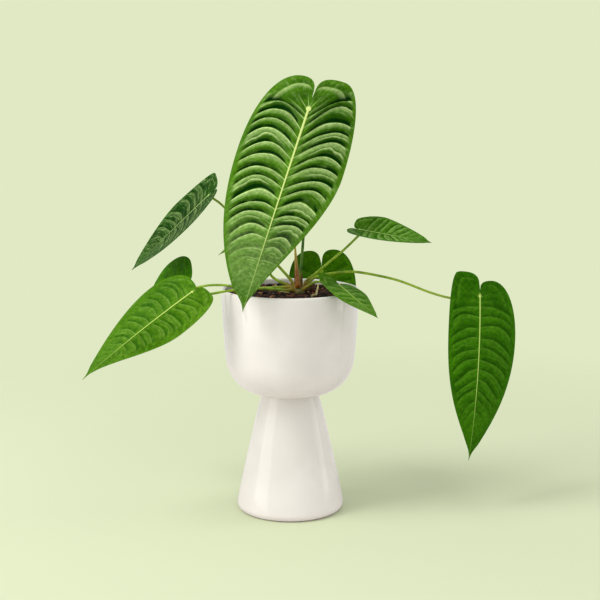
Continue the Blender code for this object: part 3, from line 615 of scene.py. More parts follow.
def scatterChips(material):
    draw = random.Random(soil["seed"])
    first = makeChip()
    shape = readPoints(first)
    tilt, rough = soil["chipTilt"], soil["chipRagged"]
    copies = []
    edge = planter["rimRadius"] - planter["rimWall"] - 0.002
    while len(copies) < soil["chips"]:
        angle, distance = draw.uniform(0, 2 * math.pi), edge * math.sqrt(draw.random())
        length = draw.uniform(*soil["chipLength"]) * draw.uniform(0.6, 1.0)
        x, y = distance * math.cos(angle), distance * math.sin(angle)
        tone = draw.random()
        turns = [draw.uniform(-tilt, tilt), draw.uniform(-tilt, tilt), draw.uniform(0, 2 * math.pi)]
        fat = np.array((1.0, draw.uniform(0.7, 1.3), draw.uniform(0.7, 1.6)))
        ragged = np.array([[draw.uniform(-rough, rough) for axis in range(3)] for point in shape])
        if distance > edge - length / 2:
            continue
        if math.hypot(x - soil["crown"][0], y - soil["crown"][1]) < soil["clear"]:
            continue
        copy = first.copy()
        copy.data = first.data.copy()
        bpy.context.collection.objects.link(copy)
        writePoints(copy, (shape * fat + ragged) * length)
        copy.location = (x, y, soilHeight(x, y) + 0.10 * length)
        copy.rotation_euler = turns
        mark = copy.data.attributes.new("chipTone", "FLOAT", "POINT")
        mark.data.foreach_set("value", [tone] * len(shape))
        copies.append(copy)
    deselectAll()
    for copy in copies:
        copy.select_set(True)
    bpy.context.view_layer.objects.active = copies[0]
    bpy.ops.object.join()
    bpy.data.objects.remove(first)
    return hangOn(bpy.context.view_layer.objects.active, "bark_chips", "soil", [material], smooth=30)


def makeSoilFinish():
    m = soil["mix"]
    material, bench, shader = startMaterial("pottingMix")
    cells = bench.node("TexVoronoi", {"Vector": bench.place(), "Scale": m["cells"]}).outputs
    tone = bench.node("SeparateColor", {0: cells["Color"]}).outputs[0]
    colour = paintOver(bench, patchy(bench, m["first"], m["second"], m["scale"]),
                       [(bench.ranged(tone, *m["fleckShare"]), m["fleck"])])
    return finishOff(material, bench, shader, colour, m["grain"], m["rough"], m["bump"],
                     m["specular"], cells["Distance"])


def makeBarkFinish():
    m = soil["bark"]
    material, bench, shader = startMaterial("barkChip")
    tones = bench.node("Attribute", attribute_name="chipTone").outputs["Fac"]
    ramp = bench.node("ValToRGB", {"Fac": tones})
    while len(ramp.color_ramp.elements) < len(soil["barkStops"]):
        ramp.color_ramp.elements.new(0.5)
    for element, (place, tone) in zip(ramp.color_ramp.elements, soil["barkStops"]):
        element.position, element.color = place, toLinear(tone)
    patches = addGroup(bench, softPatches, First=m["first"], Second=m["second"], Scale=m["scale"])
    colour = bench.mixed(1.0, ramp.outputs["Color"], patches.outputs["Colour"], "MULTIPLY")
    return finishOff(material, bench, shader, colour, m["grain"], m["rough"], m["bump"],
                     m["specular"])


makeSoil(makeSoilFinish())
scatterChips(makeBarkFinish())
print("soil filled and chips scattered")


# leaves: at and tip are the ends of the midrib, face is where the upper side looks.
# right and left hold a half's width, lobe, lobe's crest, widest place, fullness and bluntness.

# in each look, shade is the colour of the painted shade and crest that of the painted highlight and
# sheen; the fold strengths say how much of each the folds get, and ridge weighs a thin painted highlight
# along each groove
frontLook = {
    "deep": (52, 98, 2), "green": (80, 128, 20), "shade": (2, 42, 0), "crest": (200, 226, 150),
    "rim": (72, 118, 14), "vein": (176, 208, 120), "midrib": (206, 222, 134),
    "ribWidth": 0.019, "veinReach": 0.50, "veinPale": 0.7, "paintedFoldLight": 0.88, "paintedFoldShade": 1.0,
    "ridge": 0.50, "foldEnd": 0.84, "stripes": 0.25, "rough": (0.38, 0.48), "gloss": 0.03,
    "bump": 0.22, "slot": "dark_leaf",
}
hangingLook = dict(frontLook, deep=(38, 90, 0), green=(54, 110, 2), shade=(20, 66, 0),
                   crest=(96, 148, 34), rim=(52, 106, 4), vein=(110, 158, 50), midrib=(176, 204, 104),
                   ribWidth=0.012, veinPale=0.35, paintedFoldLight=0.5, paintedFoldShade=0.6, ridge=0.2, foldEnd=0.80)
backLook = dict(hangingLook, deep=(46, 98, 0), green=(60, 112, 4), paintedFoldLight=0.2, paintedFoldShade=0.4,
                gloss=0.02)
brightLook = dict(frontLook, slot="bright_leaf", deep=(66, 112, 6), green=(86, 132, 22),
                  shade=(42, 90, 0), crest=(128, 166, 72), rim=(80, 126, 18), vein=(150, 184, 90),
                  midrib=(190, 214, 110), ribWidth=0.010, veinPale=0.25, paintedFoldLight=0.55,
                  paintedFoldShade=0.6, ridge=0.1, foldEnd=0.70)
lowLook = dict(brightLook, deep=(60, 108, 2), green=(86, 134, 20), shade=(34, 84, 0), paintedFoldShade=0.75)
rimLook = dict(brightLook, deep=(54, 100, 0), green=(78, 126, 8), crest=(166, 196, 104),
               rim=(74, 120, 10), paintedFoldLight=0.42, paintedFoldShade=0.5, ribWidth=0.008)
sideLook = dict(frontLook, deep=(12, 50, 0), green=(30, 76, 2), shade=(6, 40, 0),
                crest=(150, 180, 108), rim=(52, 98, 12), vein=(150, 178, 104), midrib=(176, 204, 122),
                ribWidth=0.009, veinPale=0.25, paintedFoldLight=0.50, paintedFoldShade=0.6, stripes=0.6, ridge=0.15)
rightLook = dict(sideLook, deep=(44, 96, 0), green=(74, 124, 12), shade=(28, 76, 0),
                 crest=(164, 198, 112), paintedFoldLight=0.6, stripes=0.3, ridge=0.4)
undersideLook = dict(frontLook, deep=(58, 98, 8), green=(72, 114, 18), shade=(44, 84, 4),
                     crest=(84, 126, 26), rim=(76, 118, 24), vein=(110, 146, 52), veinPale=0.4,
                     midrib=(140, 172, 74), paintedFoldLight=0.2, paintedFoldShade=0.3, rough=(0.5, 0.62), gloss=0.2,
                     bump=0.12)
# for leaf 8, whose underside hangs in the shade behind the pot: brighter than undersideLook, painted
# light that stands in for light through the blade
backlitPaintLook = dict(undersideLook, deep=(80, 130, 8), green=(98, 150, 18), shade=(64, 112, 4),
                  rim=(86, 134, 18), paintedFoldLight=0.1, paintedFoldShade=0.15)
lowBackLook = dict(hangingLook, deep=(54, 112, 0), green=(76, 134, 4), shade=(30, 82, 0))

leaves = {
    1: dict(at=(0.0238, -0.0300, 0.5300), tip=(-0.0572, -0.1160, 0.2853), face=(-0.03, -0.94, 0.34),
            bow=-0.001, sway=0.0005, droop=(7, 8), curl=0.6, notch=0.5,
            right=(0.0672, 0.178, 0.50, 0.26, 0.34, 0.05), left=(0.0724, 0.152, 0.26, 0.26, 0.48, 0.56),
            pleats=21, depth=0.0020, lean=(-0.07, 0.07), arch=0.52,
            root=(60, 62), neck=0.010, look=frontLook,
            via=((0.0135, 0.0045, 0.313), (0.0167, 0.005, 0.354), (0.0208, 0.004, 0.412),
                 (0.0233, 0.002, 0.477), (0.0240, -0.006, 0.510))),
    2: dict(at=(-0.1087, 0.0500, 0.4144), tip=(-0.2109, 0.0300, 0.3169), face=(-0.46, -0.64, 0.61),
            bow=-0.0075, sway=0.0092, droop=(-25, 7), notch=0.5,
            right=(0.0416, 0.109, 0.15, 0.30, 0.56, 0.72), left=(0.0403, 0.143, 0.74, 0.29, 0.22, 0.32),
            pleats=13, depth=0.0007, lean=(0.21, 0.08), arch=0.35,
            root=(112, 30), neck=0.009, look=sideLook,
            via=((-0.0015, 0.0145, 0.3087), (-0.0124, 0.018, 0.3204), (-0.0493, 0.030, 0.3584),
                 (-0.0871, 0.048, 0.3979))),
    3: dict(at=(-0.1440, 0.0300, 0.2913), tip=(-0.2180, 0.0950, 0.2140), face=(-0.62, -0.70, 0.25),
            bow=0.003, droop=(12, 8), curl=1.0, notch=0.4,
            right=(0.0360, 0.150, 0.45, 0.25, 0.35, 0.30), left=(0.0545, 0.200, 0.46, 0.17, 0.36, 0.18),
            pleats=9, depth=0.0006, arch=0.35,
            root=(182, 30), neck=0.008, look=backLook,
            via=((-0.0070, -0.0005, 0.2985), (-0.0400, -0.003, 0.2975), (-0.0730, 0.000, 0.2990),
                 (-0.0880, 0.004, 0.3004), (-0.1100, 0.013, 0.2985))),
    4: dict(at=(-0.1233, -0.0620, 0.3017), tip=(-0.2559, -0.1120, 0.1999), face=(-0.19, -0.76, 0.62),
            bow=0.0015, sway=0.0015, droop=(10, 10), curl=0.5, notch=0.5,
            right=(0.0370, 0.098, 0.54, 0.26, 0.36, -0.10),
            left=(0.0500, 0.060, 0.40, 0.19, 0.34, 0.25),
            pleats=17, depth=0.0009, lean=(0.02, 0.10), arch=0.42,
            root=(220, 20), neck=0.008, look=lowLook,
            via=((-0.0040, -0.0125, 0.2962), (-0.0409, -0.035, 0.3020), (-0.0728, -0.050, 0.3020),
                 (-0.0990, -0.0560, 0.2985))),
    5: dict(at=(0.0900, -0.0100, 0.3750), tip=(0.1793, -0.0500, 0.3629), face=(-0.06, -0.32, 0.95),
            bow=0.003, sway=0.006, droop=(-30, -10), back=-12.0, notch=0.4,
            right=(0.0254, 0.120, 0.42, 0.26, 0.14, 0.50), left=(0.0268, 0.110, 0.34, 0.32, 0.36, 0.50),
            pleats=12, depth=0.0006, lean=(0.19, 0.20), arch=0.10,
            root=(34, 30), neck=0.004, look=rightLook,
            via=((0.0205, 0.0065, 0.3046), (0.0262, 0.0055, 0.3099), (0.0392, 0.003, 0.3206),
                 (0.0507, 0.002, 0.3308), (0.0698, -0.002, 0.3476))),
    6: dict(at=(0.2463, -0.0200, 0.2898), tip=(0.2341, -0.0350, 0.0737), face=(0.14, -0.99, 0.06),
            bow=0.0035, sway=-0.0033, droop=(12, 12), curl=0.4, notch=0.5,
            right=(0.0530, 0.090, 0.30, 0.26, 0.49, 0.28), left=(0.0402, 0.150, 0.68, 0.25, 0.62, 0.10),
            pleats=17, depth=0.0009, lean=(0.15, 0.13), arch=0.32,
            root=(-2, 30), neck=0.012, look=hangingLook,
            via=((0.0274, 0.000, 0.3080), (0.0379, 0.002, 0.3132), (0.0497, 0.003, 0.3154),
                 (0.0715, 0.004, 0.3179), (0.0878, 0.005, 0.3177), (0.1144, 0.006, 0.3130),
                 (0.1444, 0.006, 0.3056), (0.1840, 0.006, 0.2905), (0.2093, 0.005, 0.2835),
                 (0.2290, 0.001, 0.2830))),
    7: dict(at=(0.0638, -0.0520, 0.3082), tip=(0.1085, -0.1150, 0.2776), face=(0.20, -0.34, 0.92),
            bow=0.002, sway=0.003, droop=(8, -8), back=-18.0, notch=0.4,
            right=(0.0261, 0.070, 0.49, 0.26, 0.20, 0.35), left=(0.0266, 0.243, 0.86, 0.33, 0.44, 0.15),
            pleats=8, depth=0.0006, lean=(0.10, 0.10), arch=0.3,
            root=(-40, 30), neck=0.005, look=rimLook,
            via=((0.0239, -0.0115, 0.3017), (0.0311, -0.018, 0.3070), (0.0396, -0.026, 0.3095),
                 (0.0514, -0.038, 0.3052))),
    8: dict(at=(0.0431, 0.1000, 0.3099), tip=(0.0510, 0.1450, 0.1850), face=(0.00, 0.93, 0.36),
            bow=0.004, droop=(10, 10), curl=0.6, notch=0.15,
            right=(0.0480, 0.245, 0.42, 0.20, 0.42, 0.25), left=(0.0470, 0.245, 0.42, 0.20, 0.42, 0.25),
            pleats=8, depth=0.0005, arch=0.35,
            root=(72, 30), neck=0.009, look=lowBackLook, under=backlitPaintLook,
            via=((0.0205, 0.022, 0.3005), (0.0292, 0.050, 0.3046), (0.0377, 0.080, 0.3071))),
    9: dict(at=(-0.0373, 0.0200, 0.3745), tip=(-0.0931, -0.0100, 0.3418), face=(-0.30, -0.50, 0.80),
            bow=0.002, droop=(12, 12), curl=0.5, notch=0.4,
            right=(0.0170, 0.130, 0.45, 0.28, 0.30, 0.00), left=(0.0170, 0.130, 0.45, 0.28, 0.30, 0.00),
            pleats=4, depth=0.0005, arch=0.3,
            root=(147, 30), neck=0.007, look=brightLook,
            via=((-0.0060, 0.0065, 0.3015), (-0.0246, 0.013, 0.3115), (-0.0340, 0.014, 0.3360),
                 (-0.0370, 0.0155, 0.3570))),
}

bladeBuild = {
    "rowsPerPleat": 10, "columns": 22,
    "ribColumns": (0.0005, 0.0011, 0.0017, 0.0024),  # distances from the midrib's middle
    "thickness": 0.0006, "ribRise": 0.0005, "ribHalf": 0.0017, "keel": 0.0011, "keelHalf": 0.0024,
    "lobeFolds": 2.0, "startLag": 1.2, "cushion": 0.45, "lobeHold": 0.45,
    "swing": 0.38, "archFirst": 0.5, "archPlace": 0.58, "archStart": (0.8, 2.8),
    "firstDrop": 0.05, "sinusGap": 0.0006, "drip": 0.6, "dripStart": 0.89, "tipPull": 0.84,
    "foldPower": 1.5, "foldWander": 0.12, "foldSpacing": 0.10, "foldUneven": 0.15,
    "foldFade": (0.50, 0.86), "crease": 0.5, "creasePlace": 0.48, "creaseWidth": 0.11,
    "foldOuter": (0.70, 0.14), "foldBrink": 0.13,  # where the folds end, near and away from the lobe
    "nearShare": 0.022, "spread": 0.06, "slit": (0.55, 1.0),
    "ribSlim": 0.75, "ribStart": (-0.006, 0.004), "ribEnd": (0.93, 1.0),
    "marginPulls": (0.7, 0.3, 0.6), "marginSteps": 40,
}


def frameOf(leaf):
    at, tip = np.array(leaf["at"]), np.array(leaf["tip"])
    along = unit(tip - at)
    face = np.array(leaf["face"])
    face = unit(face - along * (face @ along))
    turn = (at + tip) / 2 + 2 * (leaf["bow"] * face + leaf.get("sway", 0.0) * np.cross(along, face))
    rib = bezier(at, at + (turn - at) * 2 / 3, tip + (turn - tip) * 2 / 3, tip, 40)
    return at, tip, turn, face, stepsAlong(rib)[-1]


def marginOf(leaf, side, length):
    b = bladeBuild
    width, lobe, crest, widest, full, blunt = leaf["right" if side < 0 else "left"]
    lobe, crest, widest = lobe * length, crest * width, widest * length
    notch, gap = leaf["notch"] * lobe, b["sinusGap"]
    slitPull, crestPull, lobePull = b["marginPulls"]
    inner = bezier((gap, -notch), (gap, -notch - slitPull * (lobe - notch)),
                   (crestPull * crest, -lobe), (crest, -lobe), b["marginSteps"])
    outer = bezier((crest, -lobe), (crest + lobePull * (width - crest), -lobe),
                   (width, widest - lobePull * (widest + lobe)), (width, widest), b["marginSteps"])
    below = bezier((width, widest), (width, widest + full * (length - widest)),
                   (blunt * width, b["tipPull"] * length), (0.0, length), b["marginSteps"])
    line = np.vstack((inner, outer[1:], below[1:]))
    line[:, 0] *= 1 - b["drip"] * ease(line[:, 1] / length, b["dripStart"], 1.0)
    return line


def veinEnds(leaf, side, length, folds):
    # where the side veins meet the margin: the first few share the lobe, the rest follow the midrib
    b = bladeBuild
    margin = marginOf(leaf, side, length)
    steps = stepsAlong(margin)
    lobe = leaf["right" if side < 0 else "left"][1]
    k = np.clip((folds - b["lobeFolds"]) / (leaf["pleats"] - b["lobeFolds"]), 0.0, 1.0)
    lean = leaf.get("lean", (0.0, 0.0))[0 if side < 0 else 1]
    share = k + (1 - k) * (b["swing"] * k - b["lobeHold"] * lobe) + lean * (1 - k ** 2)
    share = share + b["firstDrop"] * (1 - k) ** 8
    outside = len(margin) // 3  # past the sinus
    reached = np.interp(share * length, margin[outside:, 1], steps[outside:])
    reached = np.where(folds < b["lobeFolds"], folds / b["lobeFolds"] * reached, reached)
    return np.column_stack([np.interp(reached, steps, margin[:, axis]) for axis in (0, 1)])


def foldHeight(number, leaf, fold, reach, side, share):
    # the swelling between two side veins: a cusp at each vein, a round crest between
    b = bladeBuild
    wander = b["foldWander"] * np.sin(1.7 * fold + 4 * reach + 2.1 * number + side)
    wander = wander * ease(reach, 0.1, 0.5) + b["foldSpacing"] * np.sin(2.6 * fold + 1.4 * side + number)
    lobe = b["lobeFolds"] - (b["lobeFolds"] - fold) / (b["lobeFolds"] - b["cushion"])
    phase = np.where(fold < b["lobeFolds"], lobe, fold)
    phase = phase + wander * ease(fold, b["lobeFolds"] - 0.5, b["lobeFolds"] + 1)
    pleat = np.floor(phase)
    turn = phase - pleat
    swell = 1 - 2 * np.abs(2 * turn - 1) ** b["foldPower"]
    # some folds are creased along their crest, and no two are of one height
    chance = np.sin(12.9 * pleat + 4.1 * side + 3.3 * number)
    crease = np.exp(-((turn - b["creasePlace"]) / b["creaseWidth"]) ** 2)
    crease = b["crease"] * ease(chance, 0.1, 0.9) * crease
    uneven = 1 + b["foldUneven"] * np.sin(7.7 * pleat + 2.9 * side + 1.3 * number)
    fade = ease(fold, b["cushion"], b["cushion"] + 0.6) * (1 - 0.93 * ease(share, *b["foldFade"]))
    outer = b["foldOuter"][0] + b["foldOuter"][1] * ease(fold, 1.0, b["lobeFolds"] + 2.0)
    inside = ease(reach, 0.02, 0.16) * (1 - ease(reach, outer, outer + b["foldBrink"]))
    return leaf["depth"] * fade * uneven * (swell - crease) * inside, phase


def makeBlade(number, leaf):
    b = bladeBuild
    at, tip, turn, face, length = frameOf(leaf)
    rows = leaf["pleats"] * b["rowsPerPleat"]
    columns = len(b["ribColumns"]) + b["columns"]
    folds = np.arange(rows + 1) / b["rowsPerPleat"]
    ends = {side: veinEnds(leaf, side, length, folds) for side in (-1, 1)}
    free = b["lobeFolds"] - b["startLag"]
    shares = np.clip((folds - free) / (leaf["pleats"] - free), 0.0, 1.0)
    piece, grid = addSheet(2 * columns, rows)
    column = np.rint(grid[:, 0] * columns).astype(int)
    row = np.rint((grid[:, 1] + 1) / 2 * rows).astype(int)
    side = np.where(column < 0, -1, 1)
    across, along = (np.where(side < 0, ends[-1][row, axis], ends[1][row, axis]) for axis in (0, 1))
    share, start, fold = shares[row], shares[row] * length, folds[row]
    span = np.maximum(np.hypot(across, along - start), 1e-6)
    # how far along its side vein each point lies: the first columns keep to the midrib
    step = np.abs(column)
    ribs = np.array((0.0, *b["ribColumns"]))
    near = np.minimum(ribs[np.minimum(step, len(ribs) - 1)] / span, b["nearShare"] * step)
    first = np.minimum(ribs[-1] / span, b["nearShare"] * (len(ribs) - 1))
    rest = np.clip((step - len(ribs) + 1) / b["columns"], 0, 1)
    rest = first + (1 - first) * (rest + b["spread"] * np.sin(math.pi * rest))
    reach = np.minimum(np.where(step < len(ribs), near, rest), 1.0)
    arch = leaf["arch"] * ease(fold, *b["archStart"]) * (1 + b["archFirst"] * (1 - share) ** 4)
    bendAlong = (start + along) / 2 - arch * across
    x = 2 * b["archPlace"] * across * reach * (1 - reach) + across * reach ** 2
    y = start * (1 - reach) ** 2 + 2 * bendAlong * reach * (1 - reach) + along * reach ** 2
    x = np.where(row == 0, x * ease(reach, *b["slit"]), x)  # the slit closes towards the stalk
    rise, phase = foldHeight(number, leaf, fold, reach, side, share)
    # lay the flat leaf along its bent midrib
    t = np.clip(y / length, 0.0, 1.0)[:, None]
    middle = at * (1 - t) ** 2 + 2 * turn * t * (1 - t) + tip * t * t
    tangent = unit((turn - at) * (1 - t) + (tip - turn) * t)
    normal = unit(face - tangent * (tangent @ face)[:, None])
    sideways = np.cross(tangent, normal)
    behind = np.minimum(y, 0.0)
    droop = np.radians(np.where(side < 0, leaf["droop"][0], leaf["droop"][1]))
    drop = x * np.sin(droop) + leaf.get("curl", 0.0) * x ** 2 + leaf.get("back", 1.0) * behind ** 2
    points = (middle + tangent * behind[:, None] + sideways * (side * x * np.cos(droop))[:, None]
              + normal * (rise - drop)[:, None])
    writePoints(piece, points)
    # maps for the paint
    loops = np.empty(len(piece.data.loops), int)
    piece.data.loops.foreach_get("vertex_index", loops)
    for name, first, second in (("veinMap", side * reach, phase), ("sizeMap", side * x * 10, y * 10)):
        paint = piece.data.uv_layers.new(name=name)
        paint.data.foreach_set("uv", np.column_stack((first, second))[loops].ravel())
    piece.data.uv_layers.remove(piece.data.uv_layers["UVMap"])
    flat = piece.data.attributes.new("flatPlace", "FLOAT_VECTOR", "POINT")
    flat.data.foreach_set("vector", np.column_stack((x, y, 0 * x)).ravel())
    cleanUp(piece, 0.00002)
    if sum(f.normal @ Vector(face) * f.area for f in piece.data.polygons) < 0:
        bpy.ops.object.mode_set(mode="EDIT")
        bpy.ops.mesh.flip_normals()
        bpy.ops.object.mode_set(mode="OBJECT")
    applyModifier(piece, "SOLIDIFY", thickness=b["thickness"], offset=0.0, material_offset=1,
                  use_rim=True)
    raiseMidrib(piece, face, length)
    top = makeBladeFinish(f"bladeTop{number}", leaf["look"], length)
    below = makeBladeFinish(f"bladeBelow{number}", leaf.get("under", undersideLook), length)
    return hangOn(piece, f"blade_{number}", leaf["look"]["slot"], [top, below], f"leaf_{number}")


def raiseMidrib(piece, face, length):
    # a low rib above and a round keel below, both dying away to the tip
    b = bladeBuild
    x, y = readValues(piece.data.attributes["flatPlace"].data, "vector").T[:2]
    upper = (readValues(piece.data.vertices, "normal") @ face) > 0
    slim = 1 - b["ribSlim"] * np.clip(y / length, 0, 1)
    slim = slim * ease(y, *b["ribStart"]) * (1 - ease(y / length, *b["ribEnd"]))
    rib, keel = (rise * np.sqrt(np.clip(1 - (x / half) ** 2, 0, 1)) * slim
                 for rise, half in ((b["ribRise"], b["ribHalf"]), (b["keel"], b["keelHalf"])))
    writePoints(piece, readPoints(piece) + np.where(upper, rib, -keel)[:, None] * face)
    piece.data.attributes.remove(piece.data.attributes["flatPlace"])


for number, leaf in leaves.items():
    makeBlade(number, leaf)
print("blades laid out:", len(leaves))


# stalks, from the crown to the back of each blade

stalkBuild = {
    "crownRadius": 0.0085, "seat": 0.0004, "sunk": 0.0030, "topRadius": 0.0016, "baseRadius": 0.0021,
    "rise": 0.005, "sheath": 0.0007, "sheathEnds": (0.004, 0.016),
    "elbow": 0.0005, "elbowEnds": (0.010, 0.006), "elbowFade": 0.002,  # measured from the stalk's end
    "below": 0.0019, "into": 0.0013,  # where the stalk ends behind its blade's keel
    "step": 0.0035, "resolution": 5,
    "scale": 90.0, "baseFade": (0.012, 0.034, 1.0, 0.0), "topFade": (0.10, 0.22, 0.0, 0.8),
    "grain": 800.0, "rough": (0.36, 0.5), "bump": (0.15, 0.0003), "specular": 0.2,
    "skins": {
        "stalkGreen": dict(base=(140, 122, 44), body=(150, 182, 48), patch=(116, 150, 36),
                           top=(164, 192, 66)),
        # a darker copy of the stalk green for the big blade's stalk, which stands in its shade: painted
        # shade
        "stalkPaintedShade": dict(base=(140, 122, 44), body=(84, 126, 30), patch=(46, 94, 12),
                          top=(150, 182, 48)),
    },
}


def crownSeat(angle, rise):
    # the place on the crown that looks this way, and the way out of it
    angle, rise = math.radians(angle), math.radians(rise)
    out = np.array((math.cos(rise) * math.cos(angle), math.cos(rise) * math.sin(angle),
                    math.sin(rise)))
    return np.array(soil["crown"]) + out * (stalkBuild["crownRadius"] + stalkBuild["seat"]), out


def makeRod(path, radii, resolution):
    # a round bar drawn as a curve, then made a mesh
    deselectAll()
    bpy.ops.curve.primitive_nurbs_path_add()
    rod = bpy.context.object
    rod.data.splines.clear()
    line = rod.data.splines.new("POLY")
    line.points.add(len(path) - 1)
    line.points.foreach_set("co", np.column_stack((path, np.ones(len(path)))).ravel())
    line.points.foreach_set("radius", radii)
    rod.data.bevel_depth = 1.0
    rod.data.bevel_resolution = resolution
    rod.data.use_fill_caps = True
    pickOnly(rod)
    bpy.ops.object.convert(target="MESH")
    rod = bpy.context.object
    cleanUp(rod)
    return rod


def makeStalkFinish(name, base, body, patch, top):
    # browner at the crown, paler towards the blade
    s = stalkBuild
    material, bench, shader = startMaterial(name)
    away = bench.node("VectorMath", {0: bench.place(), 1: soil["crown"]}, operation="DISTANCE")
    away = away.outputs["Value"]
    colour = paintOver(bench, patchy(bench, patch, body, s["scale"]), (
        (bench.ranged(away, *s["baseFade"]), base), (bench.ranged(away, *s["topFade"]), top)))
    return finishOff(material, bench, shader, colour, s["grain"], s["rough"], s["bump"],
                     s["specular"])


def makeStalk(number, leaf, material):
    s = stalkBuild
    at, _, turn, face, _ = frameOf(leaf)
    start, out = crownSeat(*leaf["root"])
    tangent = unit(turn - at)
    back = unit(face - tangent * (face @ tangent))
    end = at - back * s["below"]
    path = smoothPath([start - out * s["sunk"], start, start + out * s["rise"], *leaf["via"],
                       end - back * leaf["neck"], end, end + back * s["into"]], s["step"])
    steps = stepsAlong(path)
    radii = s["topRadius"] + (s["baseRadius"] - s["topRadius"]) * (1 - steps / steps[-1]) ** 3
    radii = radii + s["sheath"] * (1 - ease(steps, *s["sheathEnds"]))
    elbowStart, elbowFull = s["elbowEnds"]
    elbow = ease(steps, steps[-1] - elbowStart, steps[-1] - elbowFull)
    fade = s["elbowFade"]
    radii = radii + s["elbow"] * elbow * (1 - ease(steps, steps[-1] - fade, steps[-1] + fade))
    piece = makeRod(path, radii, s["resolution"])
    return hangOn(piece, f"petiole_{number}", "stalk", [material], f"stalk_{number}")


stalkFinishes = {name: makeStalkFinish(name, **skin) for name, skin in stalkBuild["skins"].items()}
for number, leaf in leaves.items():
    # the big blade's stalk gets the darker copy with painted shade
    makeStalk(number, leaf, stalkFinishes["stalkPaintedShade" if number == 1 else "stalkGreen"])
print("stalks grown")


# crown, new shoot, dried sheaths and roots

crownBuild = {"radius": 0.0085, "depth": 0.020, "scar": 0.0005, "scarSpacing": 0.0026,
              "skin": dict(first=(86, 112, 40), second=(128, 104, 50), scale=220.0, grain=700.0,
                           rough=(0.5, 0.7), bump=0.4)}
shootBuild = {"root": (-100, 62), "length": 0.056, "radius": 0.0030, "lean": (-0.07, 0.01, 1.0),
              "bend": (0.004, 0.012), "taper": 0.80, "foot": (0.35, 0.14), "lap": 0.10, "twist": 0.8,
              "sides": 40, "rings": 60, "low": (128, 68, 10), "high": (164, 104, 22),
              "top": (168, 152, 34), "topHeights": (0.312, 0.352), "scale": 260.0, "grain": 700.0,
              "rough": (0.35, 0.5), "bump": (0.25, 0.0004)}
sheathBuild = {"length": 0.015, "width": 0.0034, "thickness": 0.0004, "sides": 10, "rings": 26,
               "torn": 0.12, "wave": 0.0005, "cup": 0.30, "stand": 0.003,
               "roots": {1: (176, 62), 2: (-28, 62)},
               "skin": dict(first=(58, 20, 14), second=(108, 46, 28), scale=300.0, grain=900.0,
                            rough=(0.6, 0.8), bump=0.5)}
rootBuild = {
    1: dict(radius=0.0015, way=((0.0280, -0.0380), (0.0335, -0.0284), (0.0350, 0.0000),
                                (0.0362, 0.0221), (0.0380, 0.0700))),
    2: dict(radius=0.0010, way=((-0.0010, -0.0085), (-0.0120, -0.0030), (-0.0165, 0.0150),
                                (-0.0185, 0.0400), (-0.0210, 0.0660))),
}
rootShape = {"lift": 0.0006, "step": 0.0022, "taper": 0.45, "uneven": 0.10}
rootSkin = dict(first=(168, 150, 84), second=(206, 196, 132), scale=260.0, grain=900.0,
                rough=(0.5, 0.7), bump=0.3)


def makeCrown(material):
    c = crownBuild
    centre = np.array(soil["crown"])
    low = centre[2] - c["depth"]
    dome = arc((0.0, centre[2]), c["radius"], 0, 88, 22)
    shaft = bezier((c["radius"] * 0.7, low + 0.001), (c["radius"], low + 0.004),
                   (c["radius"], low + 0.010), (c["radius"], centre[2]), 12)
    piece = turnOnWheel([(planter["pole"], low), *shaft, *dome[1:]], 48)
    cleanUp(piece, 0.0002)
    points = readPoints(piece)
    ringed = np.abs(np.sin((points[:, 2] - low) / c["scarSpacing"] * math.pi / 2))
    swell = c["scar"] * (ringed - 0.6 + 0.8 * noiseAt(points, 0.004))
    points[:, :2] *= (1 + swell / c["radius"])[:, None]
    points[:, :2] += centre[:2]
    writePoints(piece, points)
    return hangOn(piece, "crown_knob", "stalk", [material], "crown", 50)


def makeShoot():
    # a rolled leaf: the radius grows round the turn, so the last wrap laps over the first
    s = shootBuild
    start, out = crownSeat(*s["root"])
    lean, foot = unit(s["lean"]), start + out * s["bend"][0]
    path = smoothPath([start - out * s["bend"][0] / 2, foot, foot + lean * s["bend"][1],
                       foot + lean * s["length"]], 0.0005)
    piece, grid = addSheet(s["sides"], s["rings"])
    around, t = (grid.T + 1) / 2
    place = np.column_stack([np.interp(t, np.linspace(0, 1, len(path)), path[:, axis])
                             for axis in range(3)])
    swell, swellEnd = s["foot"]
    radius = s["radius"] * (1 - s["taper"] * t ** 2) * (1 + swell * (1 - ease(t, 0.0, swellEnd)))
    radius = radius * (1 + s["lap"] * (np.mod(around + s["twist"] * t, 1.0) - 0.5))
    radius = np.where((t > 0.999) | (t < 0.001), 0.0, radius)  # closed at both ends
    angle = 2 * math.pi * around
    points = place + radius[:, None] * np.column_stack((np.cos(angle), np.sin(angle), 0 * angle))
    writePoints(piece, points)
    cleanUp(piece, 0.00002)
    material, bench, shader = startMaterial("rolledLeaf")
    height = bench.node("SeparateXYZ", {0: bench.place()}).outputs[2]
    colour = paintOver(bench, patchy(bench, s["low"], s["high"], s["scale"]),
                       [(bench.ranged(height, *s["topHeights"]), s["top"])])
    finishOff(material, bench, shader, colour, s["grain"], s["rough"], s["bump"])
    return hangOn(piece, "shoot_rolled", "shoot", [material], "new_shoot", 50)


